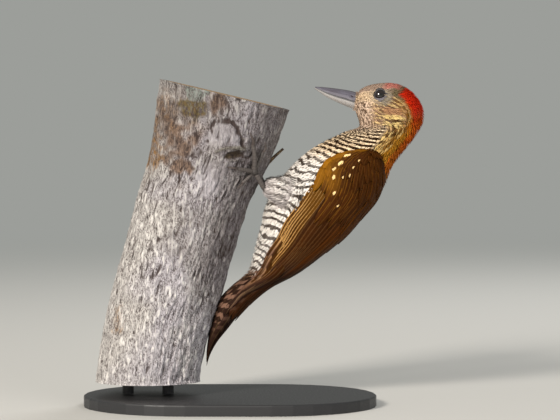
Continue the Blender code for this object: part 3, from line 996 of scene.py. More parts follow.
def speckled_face(at, look, ground, cover):
    """Throat and cheek, finely speckled, then the lores and the ring round the eye."""
    fine = fall(at.u, 6.2, 1.2) * rise(at.down, 0.4, 0.2) * (1 - 0.8 * cover)
    fine = fine * (0.62 * (at.tuft < 0.34) + 0.26 * at.speckle)
    freckled = 0.3 * at.speckle * rise(at.down, 0.2, 0.3) + 0.3 * (at.tuft < 0.22)
    lores = fall(at.u, 2.7, 0.9) * rise(at.down, 0.1, 0.1) * fall(at.down, 0.62, 0.2)
    lore = blend(flat(look.lore, at.count), look.streak_dark, freckled)
    ring = fall(at.from_eye, 5.4, 1.5) * (0.5 + 0.35 * rise(at.x, 66.0, 3.0))
    return layered(ground, (look.streak_dark, fine), (lore, lores), (look.eye_ring, ring))


def crown_and_nape(at, look):
    """Forehead, crown, red nape, hindneck and back, and how much of each place they cover."""
    u, down, tuft = at.u, at.down, at.tuft
    tips = band(u, 2.25, 3.2, 0.4) * fall(down, 0.12, 0.05)
    lowest = np.interp(u, (3.3, 4.6, 5.2, 6.0, 7.0, 8.2), (0.14, 0.25, 0.22, 0.14, 0.1, 0.09))
    worn = fall(u, 8.0, 3.4) * (1 - 0.3 * tuft * rise(u, 4.6, 1.0))
    worn = np.maximum(worn, 0.36 * fall(u, 10.0, 0.8))
    top = layered(
        flat(look.forehead, at.count),
        (look.crown, rise(u, 2.5, 0.7)),
        (look.crown_tip, tips * (0.6 + 0.4 * tuft)),
        (look.nape_low, rise(u, 4.9, 1.0)),
        (look.hindneck, rise(u - 1.2 * fall(down, 0.14, 0.1), 6.0, 1.0)),
        (look.nape, rise(u, 3.3, 0.3) * smooth((lowest - down) / 0.04 + 0.5) * worn),
        (look.mantle, rise(u, 9.0, 0.8)),
    )
    return top, fall(down, 0.17 + 0.08 * rise(u, 2.4, 0.8), 0.05)


def markings(u, turn, look, rng):
    """Ground colour, barring and stretch of the feathers at each place."""
    at = places_of(u, turn, rng)
    ground, barring = underside(at, look)
    ear, side = side_of_head(at, look)
    ground = speckled_face(at, look, blend(ground, ear, side), side)
    crown, top = crown_and_nape(at, look)
    rim = band(at.down, 0.2, 0.34, 0.08) * band(u, 3.8, 9.0, 1.0) * (0.6 + 0.4 * at.tuft)
    ground = layered(ground, (crown, top), (look.hindneck, 0.45 * rim))
    return ground, barring * (1 - 0.9 * side) * (1 - top), 1.0 + 0.6 * side


# ---------------------------------------------------------------------------------------------
# Feathers
# ---------------------------------------------------------------------------------------------


def thickened(shape, thick):
    bmesh.ops.solidify(shape, geom=shape.faces[:], thickness=thick)
    bmesh.ops.recalc_face_normals(shape, faces=shape.faces)
    return kept_mesh("vane", shape)


def vane(across, along, fray, thick, point):
    """A contour feather as a closed thin vane: x across, y along, z out of the coat."""
    shape = bmesh.new()
    bmesh.ops.create_grid(shape, x_segments=across, y_segments=along, size=1.0)
    for vert in shape.verts:
        side, reach = vert.co.x, (vert.co.y + 1) / 2
        width = max(sin(pi * min(reach * 0.86 + 0.12, 1.0)), 0.0) ** point
        column = round((side + 1) / 2 * across)
        tooth = fray * (1 if column % 2 else -1) * reach**3
        vert.co = (side * width, reach + tooth - 0.2 * side * side * reach, -0.2 * side * side)
    return thickened(shape, thick)


def quill(across, along, blunt, thick):
    """A long feather as a closed vane with a raised shaft: x across, y along."""
    shape = bmesh.new()
    bmesh.ops.create_grid(shape, x_segments=across, y_segments=along, size=1.0)
    for vert in shape.verts:
        side, reach = vert.co.x, (vert.co.y + 1) / 2
        past = max(reach - blunt, 0.0) / (1.0 - blunt)
        width = max(1 - past**2, 0.0015) ** 0.5 * (0.55 + 0.45 * float(smooth(reach / 0.3)))
        ridge = 0.1 * max(0.0, 1 - abs(side) * 3) - 0.05 * side * side
        vert.co = (side * width, reach, ridge)
    return thickened(shape, thick)


def flock(name, template, places, uv, ground, mark, vane, pattern):
    """Joins copies of one small mesh: places holds every copy's points.

    ground and mark are colours, vane and pattern three numbers each. They may be the same all
    over, or be given for each copy or for each of its points.
    """
    copies, count = places.shape[:2]
    sizes = np.empty(len(template.polygons), dtype=np.int32)
    template.polygons.foreach_get("loop_total", sizes)
    corners = np.empty(len(template.loops), dtype=np.int32)
    template.loops.foreach_get("vertex_index", corners)
    mesh = bpy.data.meshes.new(name)
    mesh.vertices.add(copies * count)
    mesh.vertices.foreach_set("co", places.astype(np.float32).ravel())
    loops = (corners[None, :] + np.arange(copies)[:, None] * count).ravel()
    mesh.loops.add(len(loops))
    mesh.loops.foreach_set("vertex_index", loops.astype(np.int32))
    sizes = np.tile(sizes, copies)
    mesh.polygons.add(len(sizes))
    mesh.polygons.foreach_set("loop_start", (np.cumsum(sizes) - sizes).astype(np.int32))
    mesh.polygons.foreach_set("loop_total", sizes.astype(np.int32))
    mesh.update(calc_edges=True)
    mesh.shade_smooth()
    for field, colour in (("ground", ground), ("mark", mark)):
        colour = np.asarray(colour, float)
        if colour.ndim == 2:
            colour = colour[:, None]
        set_colour(mesh, field, np.broadcast_to(colour, (copies, count, 3)).reshape(-1, 3))
    for field, numbers in (("vane", vane), ("pattern", pattern)):
        numbers = [np.broadcast_to(number, (copies, count)) for number in numbers]
        set_attribute(mesh, field, "FLOAT_VECTOR", np.stack(numbers, axis=-1))
    set_uv(mesh, uv.reshape(-1, 2))
    return mesh


TUFT_PATCH = 0.003


def unwrap(u, turn):
    """Where a place of the skin lies on its bake map."""
    return np.stack((0.02 + 0.96 * (turn / tau + 0.5), 0.02 + 0.96 * u / TAIL_TIP), axis=-1)


def tuft_uv(u, turn, points):
    """A small patch of the bake map for each feather, at its root's place on the skin's map."""
    local = np.stack((points[:, 0] / 2, np.clip(points[:, 1], 0, 1) - 0.5), axis=1)
    return unwrap(u, turn)[:, None, :] + local[None] * TUFT_PATCH


EYE = np.array((67.3, -6.5, 139.9)) * MM
EYE_RADIUS = 3.3 * MM
FAR_FROM_EYE = 99.0


def eye_distance(points):
    """Millimetres from points to the eye's middle, seen from the side."""
    away = np.hypot((points[..., 0] - EYE[0]) * 0.94, points[..., 2] - EYE[2]) / MM
    return np.where(np.abs(points[..., 1]) > 4 * MM, away, FAR_FROM_EYE)


# The left leg's joints, and how far the thigh's feathers reach round it, in millimetres.
HIP = np.array((29.0, -10.0, 95.0))
KNEE = np.array((21.5, -13.0, 97.6))
ANKLE = np.array((15.4, -14.6, 98.8))
THIGH_WIDTH, ANKLE_WIDTH = 8.6, 3.4


def thigh_lie(points):
    """How much points belong to a thigh, and the lie of the feathers down it."""
    mirror = np.where(points[:, 1:2] < 0, (1.0, 1.0, 1.0), (1.0, -1.0, 1.0))
    line = (ANKLE - HIP) * MM * mirror
    from_hip = points - HIP * MM * mirror
    along = np.clip((from_hip * line).sum(1) / (line * line).sum(1), 0.0, 1.0)
    away = np.linalg.norm(from_hip - line * along[:, None], axis=1) / MM
    edge = THIGH_WIDTH + (ANKLE_WIDTH - THIGH_WIDTH) * along
    return fall(away, edge + 1.6, 1.6) * rise(along, 0.12, 0.2), unit(line)[0]


def under_wing(u, turn, margin):
    """Whether places lie under the folded wing, farther than a margin from its edges."""
    upper, lower = wing_spot(u, 0.0), wing_spot(u, 1.0)
    inside = (upper + margin < np.abs(turn)) & (np.abs(turn) < lower - margin)
    return inside & (u > WING_EDGES[0, 0] + 0.15) & (u < WING_EDGES[-1, 0])


# How far the skin lies below the roots of the coat, and how much the plumage colours on it are darkened
# as painted shade under the coat.
UNDER_COAT, PAINTED_COAT_SHADE = 0.25 * MM, 0.6


def coat_depth(u, look):
    """Depth of the coat at a station, in metres."""
    return look.face_depth + (look.body_depth - look.face_depth) * rise(u, 0.8, 7.0)


def feather_spacing(u, look):
    """Spacing of the contour feathers at a station, in metres."""
    spacing = look.body_spacing + (look.head_spacing - look.body_spacing) * fall(u, 7.8, 4.0)
    return spacing + (look.face_spacing - spacing) * fall(u, 1.9, 1.6)


# The library slot of each zone, and its vane: faces across and along, fray, thickness, point.
ZONES = {
    "head": ("head_plumage", (2, 4, 0.06, 0.07, 0.8)),
    "neck": ("neck_plumage", (2, 5, 0.06, 0.06, 0.8)),
    "breast": ("barred_plumage", (4, 4, 0.05, 0.05, 0.6)),
    "belly": ("barred_plumage", (4, 4, 0.05, 0.05, 0.6)),
    "thigh": ("thigh_plumage", (2, 4, 0.06, 0.07, 0.8)),
}
FEATHER_TRIES = 160000
ROOTS_FROM_EYE, CLEAR_OF_EYE = 2.9, 2.55
PIECE_LIMIT = 190000


def feather_roots(look, rng):
    """Places for the contour feathers: station, turn and nearest place of the chart."""
    here = form()
    points = here.scatter(FEATHER_TRIES, rng)
    u, turn, i = here.read(points)
    keep = (u < BODY_END - 0.1) & ~under_wing(u, turn, 0.18)
    keep &= (eye_distance(points) > ROOTS_FROM_EYE) & ((u > 0.12) | (np.abs(turn) > 3.0))
    points, u, turn, i = points[keep], u[keep], turn[keep], i[keep]
    picked = spaced(points, feather_spacing(u, look) * 0.9)
    return points[picked], u[picked], turn[picked], i[picked]


def contour_rows(look, rng):
    """Every contour feather: where it is rooted, how it lies and what it shows."""
    here = form()
    points, u, turn, i = feather_roots(look, rng)
    count = len(points)
    roots, normal = here.nearest(points)
    belongs, down = thigh_lie(roots)
    lie = here.flow[i] * (1 - belongs[:, None]) + down * belongs[:, None]
    lie = lie + (BACKWARD - lie) * ear_lie(roots / MM)[:, None]
    lie = lie + rng.normal(0.0, 0.07, (count, 3))
    lie = unit(lie - normal * (lie * normal).sum(1)[:, None])[0]
    ground, barring, stretch = markings(u, turn, look, rng)
    mottled = rise(waver(roots[:, 0] / MM * 0.8, roots[:, 2] / MM * 1.2, 13.0), 0.2, 0.3)
    ground = layered(ground, (look.thigh, belongs), (look.bar, belongs * mottled * 0.28))
    need = feather_spacing(u, look)
    long = need * (2.9 + 0.5 * rng.random(count)) * stretch
    wide = need * (0.8 + 0.1 * rng.random(count)) / stretch**0.5
    start = roots - lie * long[:, None] * 0.4
    before, after = eye_distance(start), eye_distance(start + lie * long[:, None])
    room = np.clip((before - CLEAR_OF_EYE) / np.maximum(before - after, 0.01), 0.3, 1.0)
    zones = ("thigh", "head", "neck", "breast")
    return SimpleNamespace(
        zone=np.select((belongs > 0.4, u < 5.3, u < 8.3, u < 11.5), zones, "belly"),
        u=u,
        turn=turn,
        i=i,
        start=start,
        lie=lie,
        side=np.cross(lie, normal),
        long=np.where(after < CLEAR_OF_EYE, long * room, long),
        wide=wide,
        depth=coat_depth(u, look),
        puff=band(u, 13.6, 15.9, 1.2) * rise((1 - np.cos(turn)) / 2, 0.7, 0.25) * look.vent_puff,
        ground=ground,
        barring=barring * (1 - belongs) + 0.2 * belongs,
        tone=rng.random(count),
        jitter=0.02 * rng.normal(size=count),
    )


def contour_mesh(name, template, rows, look):
    """One mesh of contour feathers that follow the form of the body."""
    here = form()
    points = points_of(template)
    x, y, z = points.T
    flat_lie = rows.start[:, None] + rows.lie[:, None] * (y * rows.long[:, None])[..., None]
    flat_lie = flat_lie + rows.side[:, None] * (x * rows.wide[:, None])[..., None]
    near, out = here.nearest(flat_lie.reshape(-1, 3))
    lift = rows.depth[:, None] * (y - 1.0) + (0.1 * y * y + z) * rows.wide[:, None]
    lift = lift + rows.puff[:, None] * y**0.5
    places = near.reshape(flat_lie.shape) + out.reshape(flat_lie.shape) * lift[..., None]
    i = rows.i[:, None]
    on, round_ = here.steps(flat_lie, i)
    phase = bar_count(here.us[i] + on, here.turns[i] + round_)
    phase = phase + rows.jitter[:, None] - 0.06 * x * x
    return flock(
        name,
        template,
        places,
        tuft_uv(rows.u, rows.turn, points),
        rows.ground,
        look.bar,
        (x, y, rows.tone[:, None]),
        (phase, rows.barring[:, None], 0.0),
    )


def grow_body(look, material):
    """All contour feathers of head, neck, trunk and thighs, in pieces for each zone."""
    rows = contour_rows(look, np.random.default_rng(look.seed))
    for zone, (slot, recipe) in ZONES.items():
        template = vane(*recipe)
        limit = PIECE_LIMIT // (2 * len(template.polygons))
        chosen = np.flatnonzero(rows.zone == zone)
        parts = np.array_split(chosen, len(chosen) // limit + 1)
        for number, part in enumerate(parts, start=1):
            name = f"feathers_{zone}_{number}"
            some = SimpleNamespace(**{key: row[part] for key, row in vars(rows).items()})
            finish(name, contour_mesh(name, template, some, look), material, slot)


# Tufts round the root of the bill: how many, length, half width.
SOFT_TUFTS, STIFF_BRISTLES = (360, 2.6, 0.3), (44, 4.4, 0.1)


def grow_tufts(look, material):
    """Short tufts that hide the root of the bill, and the longer bristles over the nostrils."""
    rng = np.random.default_rng(look.seed + 1)
    soft, stiff = SOFT_TUFTS[0], STIFF_BRISTLES[0]
    total = soft + stiff
    around = rng.uniform(-pi, pi, total)
    spread = np.sign(rng.random(stiff) - 0.5) * rng.uniform(0.4, 1.0, stiff)
    around[soft:] = radians(90) + radians(68) * spread
    bristly = np.arange(total) >= soft
    culmen, _, gonys, half = BILL[0, 1:]
    tall = np.where(np.sin(around) > 0, culmen, -gonys)
    across, height = half * np.cos(around), tall * np.sin(around)
    out = unit(np.stack((0 * across, across / half**2, height / tall**2), axis=1))[0]
    out = out[:, 1:2] * (0, 1, 0) + out[:, 2:3] * BILL_UP
    ring = BILL_ROOT + height[:, None] * (BILL_UP + BILL_LEAN * BILL_AHEAD)
    ring = ring + across[:, None] * (0, 1, 0)
    long = np.where(bristly, STIFF_BRISTLES[1], SOFT_TUFTS[1]) * rng.uniform(0.6, 1.25, total)
    wide = np.where(bristly, STIFF_BRISTLES[2], SOFT_TUFTS[2]) * rng.uniform(0.85, 1.15, total)
    start = ring - BILL_AHEAD * (long * rng.uniform(0.62, 1.1, total))[:, None] + out * 0.1
    ahead = unit(BILL_AHEAD + rng.normal(0.0, 0.12, (total, 3)))[0]
    template = vane(2, 5, 0.05, 0.05, 0.7)
    points = points_of(template)
    x, y, z = points.T
    side = np.cross(ahead, out)
    lift = 0.1 + 0.1 * y - 0.35 * fall(y, 0.4, 0.4)
    places = start[:, None] + ahead[:, None] * (y * long[:, None] * 0.97)[..., None]
    places = places + side[:, None] * (x * wide[:, None])[..., None]
    places = (places + out[:, None] * (lift + z * wide[:, None])[..., None]) * MM
    ground = layered(
        flat(look.lore, total),
        (look.forehead, rise(np.sin(around), 0.72, 0.15)),
        (look.throat, fall(np.sin(around), 0.2, 0.5)),
        (look.streak_dark, np.where(bristly, 1.0, 0.6 * (rng.random(total) < 0.5))),
    )
    uv = tuft_uv(np.full(total, 0.2), around, points)
    tone = rng.random(total)[:, None]
    mesh = flock("bill_tufts", template, places, uv, ground, look.bar, (x, y, tone), (0.0, 0.0, 0.0))
    finish("bill_tufts", mesh, material, "head_plumage")


# ---------------------------------------------------------------------------------------------
# Wings and tail
# ---------------------------------------------------------------------------------------------

# The primaries, from the lowest: tip station, share down the wing at the tip, how golden.
PRIMARIES = (
    (15.6, 0.98, 1.0),
    (16.4, 0.95, 0.98),
    (17.2, 0.915, 0.95),
    (17.8, 0.875, 0.92),
    (18.1, 0.83, 0.86),
    (18.2, 0.78, 0.75),
    (18.0, 0.73, 0.55),
    (17.6, 0.68, 0.35),
    (17.2, 0.62, 0.2),
    (16.8, 0.56, 0.1),
)
SECONDARIES, TERTIALS = 8, 4
# Rows of coverts: tip and root station, how many, first and last share, half width, inset.
COVERTS = (
    (12.5, 10.3, 11, 0.04, 0.72, 2.3, 0.22),
    (11.75, 10.0, 12, 0.03, 0.86, 2.1, 0.18),
    (11.1, 9.6, 14, 0.03, 0.96, 1.9, 0.15),
    (10.5, 9.2, 14, 0.03, 0.97, 1.8, 0.12),
    (10.0, 8.8, 13, 0.04, 0.96, 1.7, 0.09),
    (9.45, 8.45, 11, 0.05, 0.95, 1.6, 0.06),
    (9.0, 8.2, 8, 0.08, 0.92, 1.5, 0.03),
    (13.2, 10.9, 3, 0.02, 0.2, 3.0, 0.04),
    (12.2, 10.2, 3, 0.02, 0.22, 2.8, 0.0),
    (11.2, 9.6, 3, 0.02, 0.24, 2.6, -0.03),
    (10.4, 9.0, 3, 0.02, 0.26, 2.4, -0.05),
)
# Pale spots on the coverts: x, z, width, length, inset of the feather that bears each.
SPOTS = (
    (52.2, 113.1, 1.7, 2.6, 0.0),
    (49.2, 109.5, 1.7, 2.7, 0.0),
    (46.6, 106.9, 1.5, 2.0, 0.02),
    (46.3, 103.5, 1.4, 1.8, 0.04),
    (57.7, 110.9, 1.1, 1.3, 0.04),
    (55.3, 107.8, 1.1, 1.4, 0.06),
    (53.5, 104.2, 1.1, 1.4, 0.08),
    (50.4, 103.6, 1.0, 1.2, 0.08),
    (46.6, 96.4, 1.3, 1.6, 0.1),
    (48.4, 90.6, 0.9, 1.0, 0.14),
)
# The feather that bears a spot: stations from its root to the spot, the spot's share of the
# way to the tip, half width and length in millimetres.
SPOT_ROOT, SPOT_AT, SPOT_HALF, SPOT_LONG = 0.95, 0.86, 1.5, 8.5


def flight_rows():
    """Root and tip (station, share down the wing), half width, inset, gold and lift of the tip."""
    for k, (tip, low, gold) in enumerate(PRIMARIES):
        yield (10.2 + 0.06 * k, 0.97 - 0.034 * k), (tip, low), 1.8, 0.5, gold, 1.0
    for k in range(SECONDARIES):
        root, tip = (10.4, 0.76 - 0.055 * k), (16.4 - 0.13 * k, 0.62 - 0.05 * k)
        yield root, tip, 2.6, 0.32, 0.07 - 0.008 * k, 0.0
    for k in range(TERTIALS):
        yield (10.2, 0.32 - 0.08 * k), (16.0 - 0.75 * k, 0.28 - 0.065 * k), 3.4, 0.12, 0.0, 0.0


def lay(points, us, turns, half, inset, sign, tuck=0.45, root=0.8):
    """Lays a long vane along a path of the chart: its root and its inner edge lie deeper."""
    x, y, z = points.T
    u = np.interp(y, np.linspace(0, 1, len(us)), us)
    turn = np.interp(y, np.linspace(0, 1, len(turns)), turns)
    ring = np.linalg.norm(chart(u, turn + 0.01) - chart(u, turn - 0.01), axis=1) / 0.02
    turn = turn + x * half * MM / np.maximum(ring, MM)
    deep = inset + tuck * (1 - x) / 2 + root * (1 - smooth(y / 0.6)) - z * half * 0.5
    return chart(u, turn * sign, deep)


def wing_path(root, tip, bow=1.2, steps=24):
    s = np.linspace(0, 1, steps)
    us = root[0] + (tip[0] - root[0]) * s
    return us, wing_spot(us, root[1] + (tip[1] - root[1]) * s**bow)


def atlas(total, points):
    """A strip of the bake map for each long feather."""
    x = (np.arange(total)[:, None] + 0.5 + points[None, :, 0] * 0.42) / total
    y = 0.02 + 0.96 * np.clip(points[:, 1], 0, 1)
    return np.stack((x, np.broadcast_to(y, x.shape)), axis=-1)


def long_feathers(name, template, places, ground, mark, phase, barring, shaft, rng):
    """One joined mesh of long feathers."""
    points, total = points_of(template), len(places)
    x, y, _ = points.T
    tone = rng.random(total)[:, None]
    barring = np.asarray(barring, float).reshape(total, -1)
    numbers = (x, y, tone), (phase, barring, shaft)
    return flock(name, template, np.array(places), atlas(total, points), ground, mark, *numbers)


def edge_phase(x):
    """The pattern phase that puts the mark colour on a feather's outer edge."""
    return 0.3 + (x - 0.76) * 0.9


def gold_from(station):
    """The share down the wing where golden coverts begin."""
    return 0.62 + 0.14 * fall(station, 11.2, 1.6)


def uneven_shade(total, rng):
    return 0.85 + 0.3 * rng.random(total)


# The wing's inner sheet: its depth under the form, its thickness, and what its bake map spans.
CORE_DEPTH, CORE_THICK, CORE_MAP = 1.6, 0.5, 160.0
# Starts of the random draws.
WING_SEED, TAIL_SEED = 11, 5


def grow_wing_core(side, look):
    """The inner sheet of a folded wing, which the feathers cover."""
    first, last = WING_EDGES[0, 0] + 0.15, WING_EDGES[-1, 0] - 0.25

    def inner(s, t):
        u = first + (last - first) * t
        return chart(u, wing_spot(u, 0.04 + 0.92 * s) * SIDES[side], CORE_DEPTH)

    core = sheet(18, 36, inner, CORE_THICK * MM * -SIDES[side])
    set_colour(core, "ground", flat(look.quill, len(core.vertices)))
    set_uv(core, points_of(core)[:, [0, 2]] / MM / CORE_MAP)
    finish(f"wing_{side}_core", core, plain_material("wing_core"), "wing_plumage", (f"wing_{side}",))


def grow_flights(side, look, material, rng):
    """The folded wing's primaries, secondaries and tertials."""
    template = quill(6, 22, 0.8, 0.05)
    points = points_of(template)
    x, y, _ = points.T
    rows = list(flight_rows())
    over = rise(y, 0.66, 0.1)
    places = [
        lay(points, *wing_path(root, tip), half, inset - lift * over, SIDES[side])
        for root, tip, half, inset, _, lift in rows
    ]
    gold = np.array([row[4] for row in rows])[:, None]
    ground = np.where(gold > 0, look.quill, look.tertial) * uneven_shade(len(rows), rng)[:, None]
    gilt = (0.1 + 0.35 * fall(y, 0.42, 0.3)) * np.minimum(gold * 1.3, 1.0)
    ground = blend(ground[:, None], look.covert_gold, gilt)
    ground = blend(ground, look.tail, rise(y[None], 0.72, 0.22))
    mark = blend(look.quill_edge, np.array(look.tail_bar) * 1.1, rise(y[None], 0.6, 0.25))
    edged = gold * (1 - 0.5 * rise(y, 0.62, 0.3))
    name = f"wing_{side}_flights"
    mesh = long_feathers(name, template, places, ground, mark, edge_phase(x), edged, 0.1, rng)
    finish(name, mesh, material, "wing_plumage")


def covert_rows(points, sign, rng):
    """Each covert's points, how golden and how mottled it is, and how far its gold fades."""
    for tip, root, count, high, low, half, inset in COVERTS:
        for share in np.linspace(high, low, count):
            path = wing_path((root, share), (tip + 0.28 * rng.normal(), share * 0.98))
            past = share - gold_from(tip)
            gold = smooth(past / 0.3) * fall(tip, 12.6, 1.2) * (0.6 + 0.4 * rng.random())
            mottled = rise(past, -0.24, 0.25) * rng.random() ** 0.5
            yield lay(points, *path, half, inset, sign, 0.35, 0.9), gold, mottled, rise(tip, 10.8, 0.9)


def spot_rows(points, sign):
    """The same for the coverts that bear the pale spots."""
    stations, steps = np.arange(8.4, 14.0, 0.02), np.arange(0.02, 0.98, 0.01)
    at, share = (grid.ravel() for grid in np.meshgrid(stations, steps))
    surface = chart(at, wing_spot(at, share)) / MM
    for x, z, _, _, inset in SPOTS:
        k = int(np.argmin(np.hypot(surface[:, 0] - x, surface[:, 2] - z)))
        root = at[k] - SPOT_ROOT
        tip = root + SPOT_ROOT / SPOT_AT
        path = wing_path((root, share[k]), (tip, share[k]))
        gold = 0.8 * smooth((share[k] - gold_from(tip)) / 0.3)
        yield lay(points, *path, SPOT_HALF, inset, sign, 0.3, 0.9), gold, 0.0, 0.0


def grow_coverts(side, look, material, rng):
    """Rows of coverts over the flight feathers, with the pale spots."""
    template = quill(6, 8, 0.55, 0.06)
    points = points_of(template)
    x, y, _ = points.T
    rows = [*covert_rows(points, SIDES[side], rng), *spot_rows(points, SIDES[side])]
    places, warmth, mottle, fades = (np.array(column) for column in zip(*rows))
    total = len(rows)
    shade = uneven_shade(total, rng)[:, None, None]
    gilt = warmth[:, None] * (1 - 0.85 * fades[:, None] * rise(y, 0.35, 0.55))
    ground = blend(look.covert, look.covert_gold, gilt) * shade
    mark = flat(look.covert_gold, total)
    phase = np.tile(edge_phase(np.abs(x)), (total, 1))
    barring = 0.03 + 0.08 * rng.random(total) + 0.4 * warmth + 0.3 * mottle * (1 - warmth)
    for k, (_, _, wide, high, _) in enumerate(SPOTS, start=total - len(SPOTS)):
        across, along = x * SPOT_HALF / (wide / 2), (y - SPOT_AT) * SPOT_LONG / (high / 2)
        phase[k] = np.clip(0.5 - 0.17 * np.hypot(across, along), 0.0, 0.5)
        mark[k], barring[k] = look.covert_spot, 1.0
    name = f"wing_{side}_coverts"
    mesh = long_feathers(name, template, places, ground, mark, phase, barring, 0.03, rng)
    finish(name, mesh, material, "wing_plumage")


# Tail feathers: turn at root and tip in degrees, tip station, half width, inset, barring.
RECTRICES = (
    (140, 166, 20.7, 2.6, 0.5, 0.9),
    (116, 142, 21.1, 2.8, 0.42, 0.8),
    (90, 110, 21.5, 2.9, 0.32, 0.6),
    (60, 72, 21.8, 3.0, 0.2, 0.2),
    (20, 24, 22.0, 3.2, 0.05, 0.0),
)
TAIL_ROOT = 16.3
# Rows of coverts round the root of the tail: tip station, first and last turn, how many.
TAIL_COVERTS = ((19.3, 110, 172, 4), (18.6, 8, 172, 9), (17.9, 14, 166, 9), (17.3, 8, 172, 9))


def grow_rectrices(look, material, rng):
    """Ten stiff pointed tail feathers, the middle pair on top."""
    template = quill(6, 24, 0.62, 0.08)
    points = points_of(template)
    x, y, _ = points.T
    places, barring, shade = [], [], []
    for sign in (1, -1):
        for root, tip, end, half, inset, barred in RECTRICES:
            us = np.linspace(TAIL_ROOT, end, 24)
            turns = np.radians(np.linspace(root, tip, 24))
            narrowing = np.interp(us, (TAIL_ROOT, 19.0, TAIL_TIP), (1.0, 1.0, 0.55)).mean()
            places.append(lay(points, us, turns, half * narrowing, inset, sign, 0.45, 1.2))
            barring.append(barred * (1 - rise(y, 0.58, 0.14)))
            shade.append(0.9 + 0.2 * rng.random())
    ground = np.array(look.tail) * np.array(shade)[:, None]
    mark = flat(look.tail_bar, len(places))
    phase = y * 8.5 - 0.3 * np.abs(x)
    mesh = long_feathers("tail_feathers", template, places, ground, mark, phase, barring, 0.1, rng)
    finish("tail_feathers", mesh, material, "tail_plumage", ("tail",))


def grow_tail(look, material):
    """The tail feathers and the coverts round their root."""
    rng = np.random.default_rng(TAIL_SEED)
    grow_rectrices(look, material, rng)
    template = quill(6, 8, 0.7, 0.06)
    points = points_of(template)
    x, y, _ = points.T
    places, under = [], []
    for row, (tip, first, last, count) in enumerate(TAIL_COVERTS):
        for turn in np.linspace(first, last, count):
            for sign in (1, -1):
                us = np.linspace(tip - 2.4, tip + 0.12 * rng.normal(), 24)
                turns = np.full(24, radians(turn))
                places.append(lay(points, us, turns, 2.1, 0.12 - 0.06 * row, sign, 0.3, 0.9))
                under.append(rise(turn, 60, 35))
    total, under = len(places), np.array(under)
    ground = blend(flat(look.tertial, total), look.tail, 0.55 + 0.45 * under)
    mark = flat(look.tail_bar, total)
    phase = y * 3.0 + 0.3 - 0.3 * np.abs(x)
    barring = 0.9 * under
    mesh = long_feathers("tail_coverts", template, places, ground, mark, phase, barring, 0.05, rng)
    finish("tail_coverts", mesh, material, "tail_plumage")


# ---------------------------------------------------------------------------------------------
# Bill, eyes and feet
# ---------------------------------------------------------------------------------------------


BILL_ROOT = np.array((56.35, 0.0, 136.6))
BILL_LENGTH = 19.3
BILL_RISE = radians(19.9)
BILL_AHEAD = np.array((-cos(BILL_RISE), 0, sin(BILL_RISE)))
BILL_UP = np.array((sin(BILL_RISE), 0, cos(BILL_RISE)))
BILL_LEAN = 0.21
BILL_GAP = 0.08
# Share of the length, culmen, gape, gonys, half width.
BILL = np.array(
    (
        (0.0, 4.2, 0.0, -3.0, 3.7),
        (0.22, 3.8, -0.15, -2.9, 3.0),
        (0.45, 3.0, -0.45, -2.6, 2.3),
        (0.68, 2.1, -0.5, -2.1, 1.6),
        (0.86, 1.3, -0.3, -1.2, 1.0),
        (1.0, 0.55, 0.0, -0.5, 0.55),
    )
)
# Where the nostril lies: share of the length, and height on the half's arch.
NOSTRIL = (0.1, 0.52)
# The share of a bill section that is arch. The rest is the flat face.
ARCH = 0.8


def bill_part(upper):
    """One half of the bill: a ridged arch over a flat face."""

    def section(s):
        turn = np.clip(s / ARCH, 0, 1) * pi
        on_face = s > ARCH
        side = np.where(on_face, -1 + 2 * (s - ARCH) / (1 - ARCH), np.cos(turn))
        return side, np.where(on_face, 0.0, np.sin(turn)), on_face

    def place(s, t):
        rows = spline(BILL, np.interp(t, BILL[:, 0], np.arange(len(BILL))))
        culmen, gape, gonys, half = rows[:, 1:].T
        side, high, on_face = section(s)
        keel = 0.05 * np.exp(-((side / 0.16) ** 2)) * high
        if upper:
            top, bottom = culmen, gape + BILL_GAP
            ridge = 0.05 * np.exp(-(((high - 0.45) / 0.12) ** 2)) * (1 - t)
            pit = np.hypot((t - NOSTRIL[0]) / 0.05, (high - NOSTRIL[1]) / 0.13)
            side = side * (1 + ridge) * (1 - 0.16 * np.exp(-(pit**2)) * ~on_face)
        else:
            top, bottom = gonys, gape - BILL_GAP
            half = half * 0.93
        height = bottom + (top - bottom) * (high + keel)
        forward = t * BILL_LENGTH + (1 - t) * BILL_LEAN * height
        point = BILL_ROOT + forward[:, None] * BILL_AHEAD + height[:, None] * BILL_UP
        return (point + (side * half)[:, None] * (0, 1, 0)) * MM

    def values(s, t):
        return {"horn": np.stack((section(s)[1], t, np.full(len(s), float(upper))), axis=1)}

    return wrapped(48, 48, place, values)


def eye_ball(sign):
    """The eye with a clear bulge over the pupil. Its vertices hold their angle from the axis."""
    shape = bmesh.new()
    centre = Vector((EYE[0], EYE[1] * sign, EYE[2]))
    outward = Matrix.Rotation(radians(90 * sign), 4, "X")
    bmesh.ops.create_uvsphere(
        shape, u_segments=48, v_segments=32, radius=EYE_RADIUS, matrix=outward
    )
    axis = Vector((0.0, -sign, 0.0))
    layer = shape.verts.layers.float_vector.new("gaze")
    for vert in shape.verts:
        angle = vert.co.angle(axis)
        vert[layer] = (angle, 0.0, 0.0)
        bulge = 0.05 * max(0.0, cos(angle * 1.6)) ** 2 * (angle < 0.9)
        vert.co = centre + vert.co * (1 + bulge)
    return shape


# The ring of bare skin round the eye: radius, how far out it lies, thickness, wrinkles.
LID_RADIUS, LID_OUT, LID_THICK, LID_WRINKLES = 2.5, 2.2, (0.24, 0.26), 26


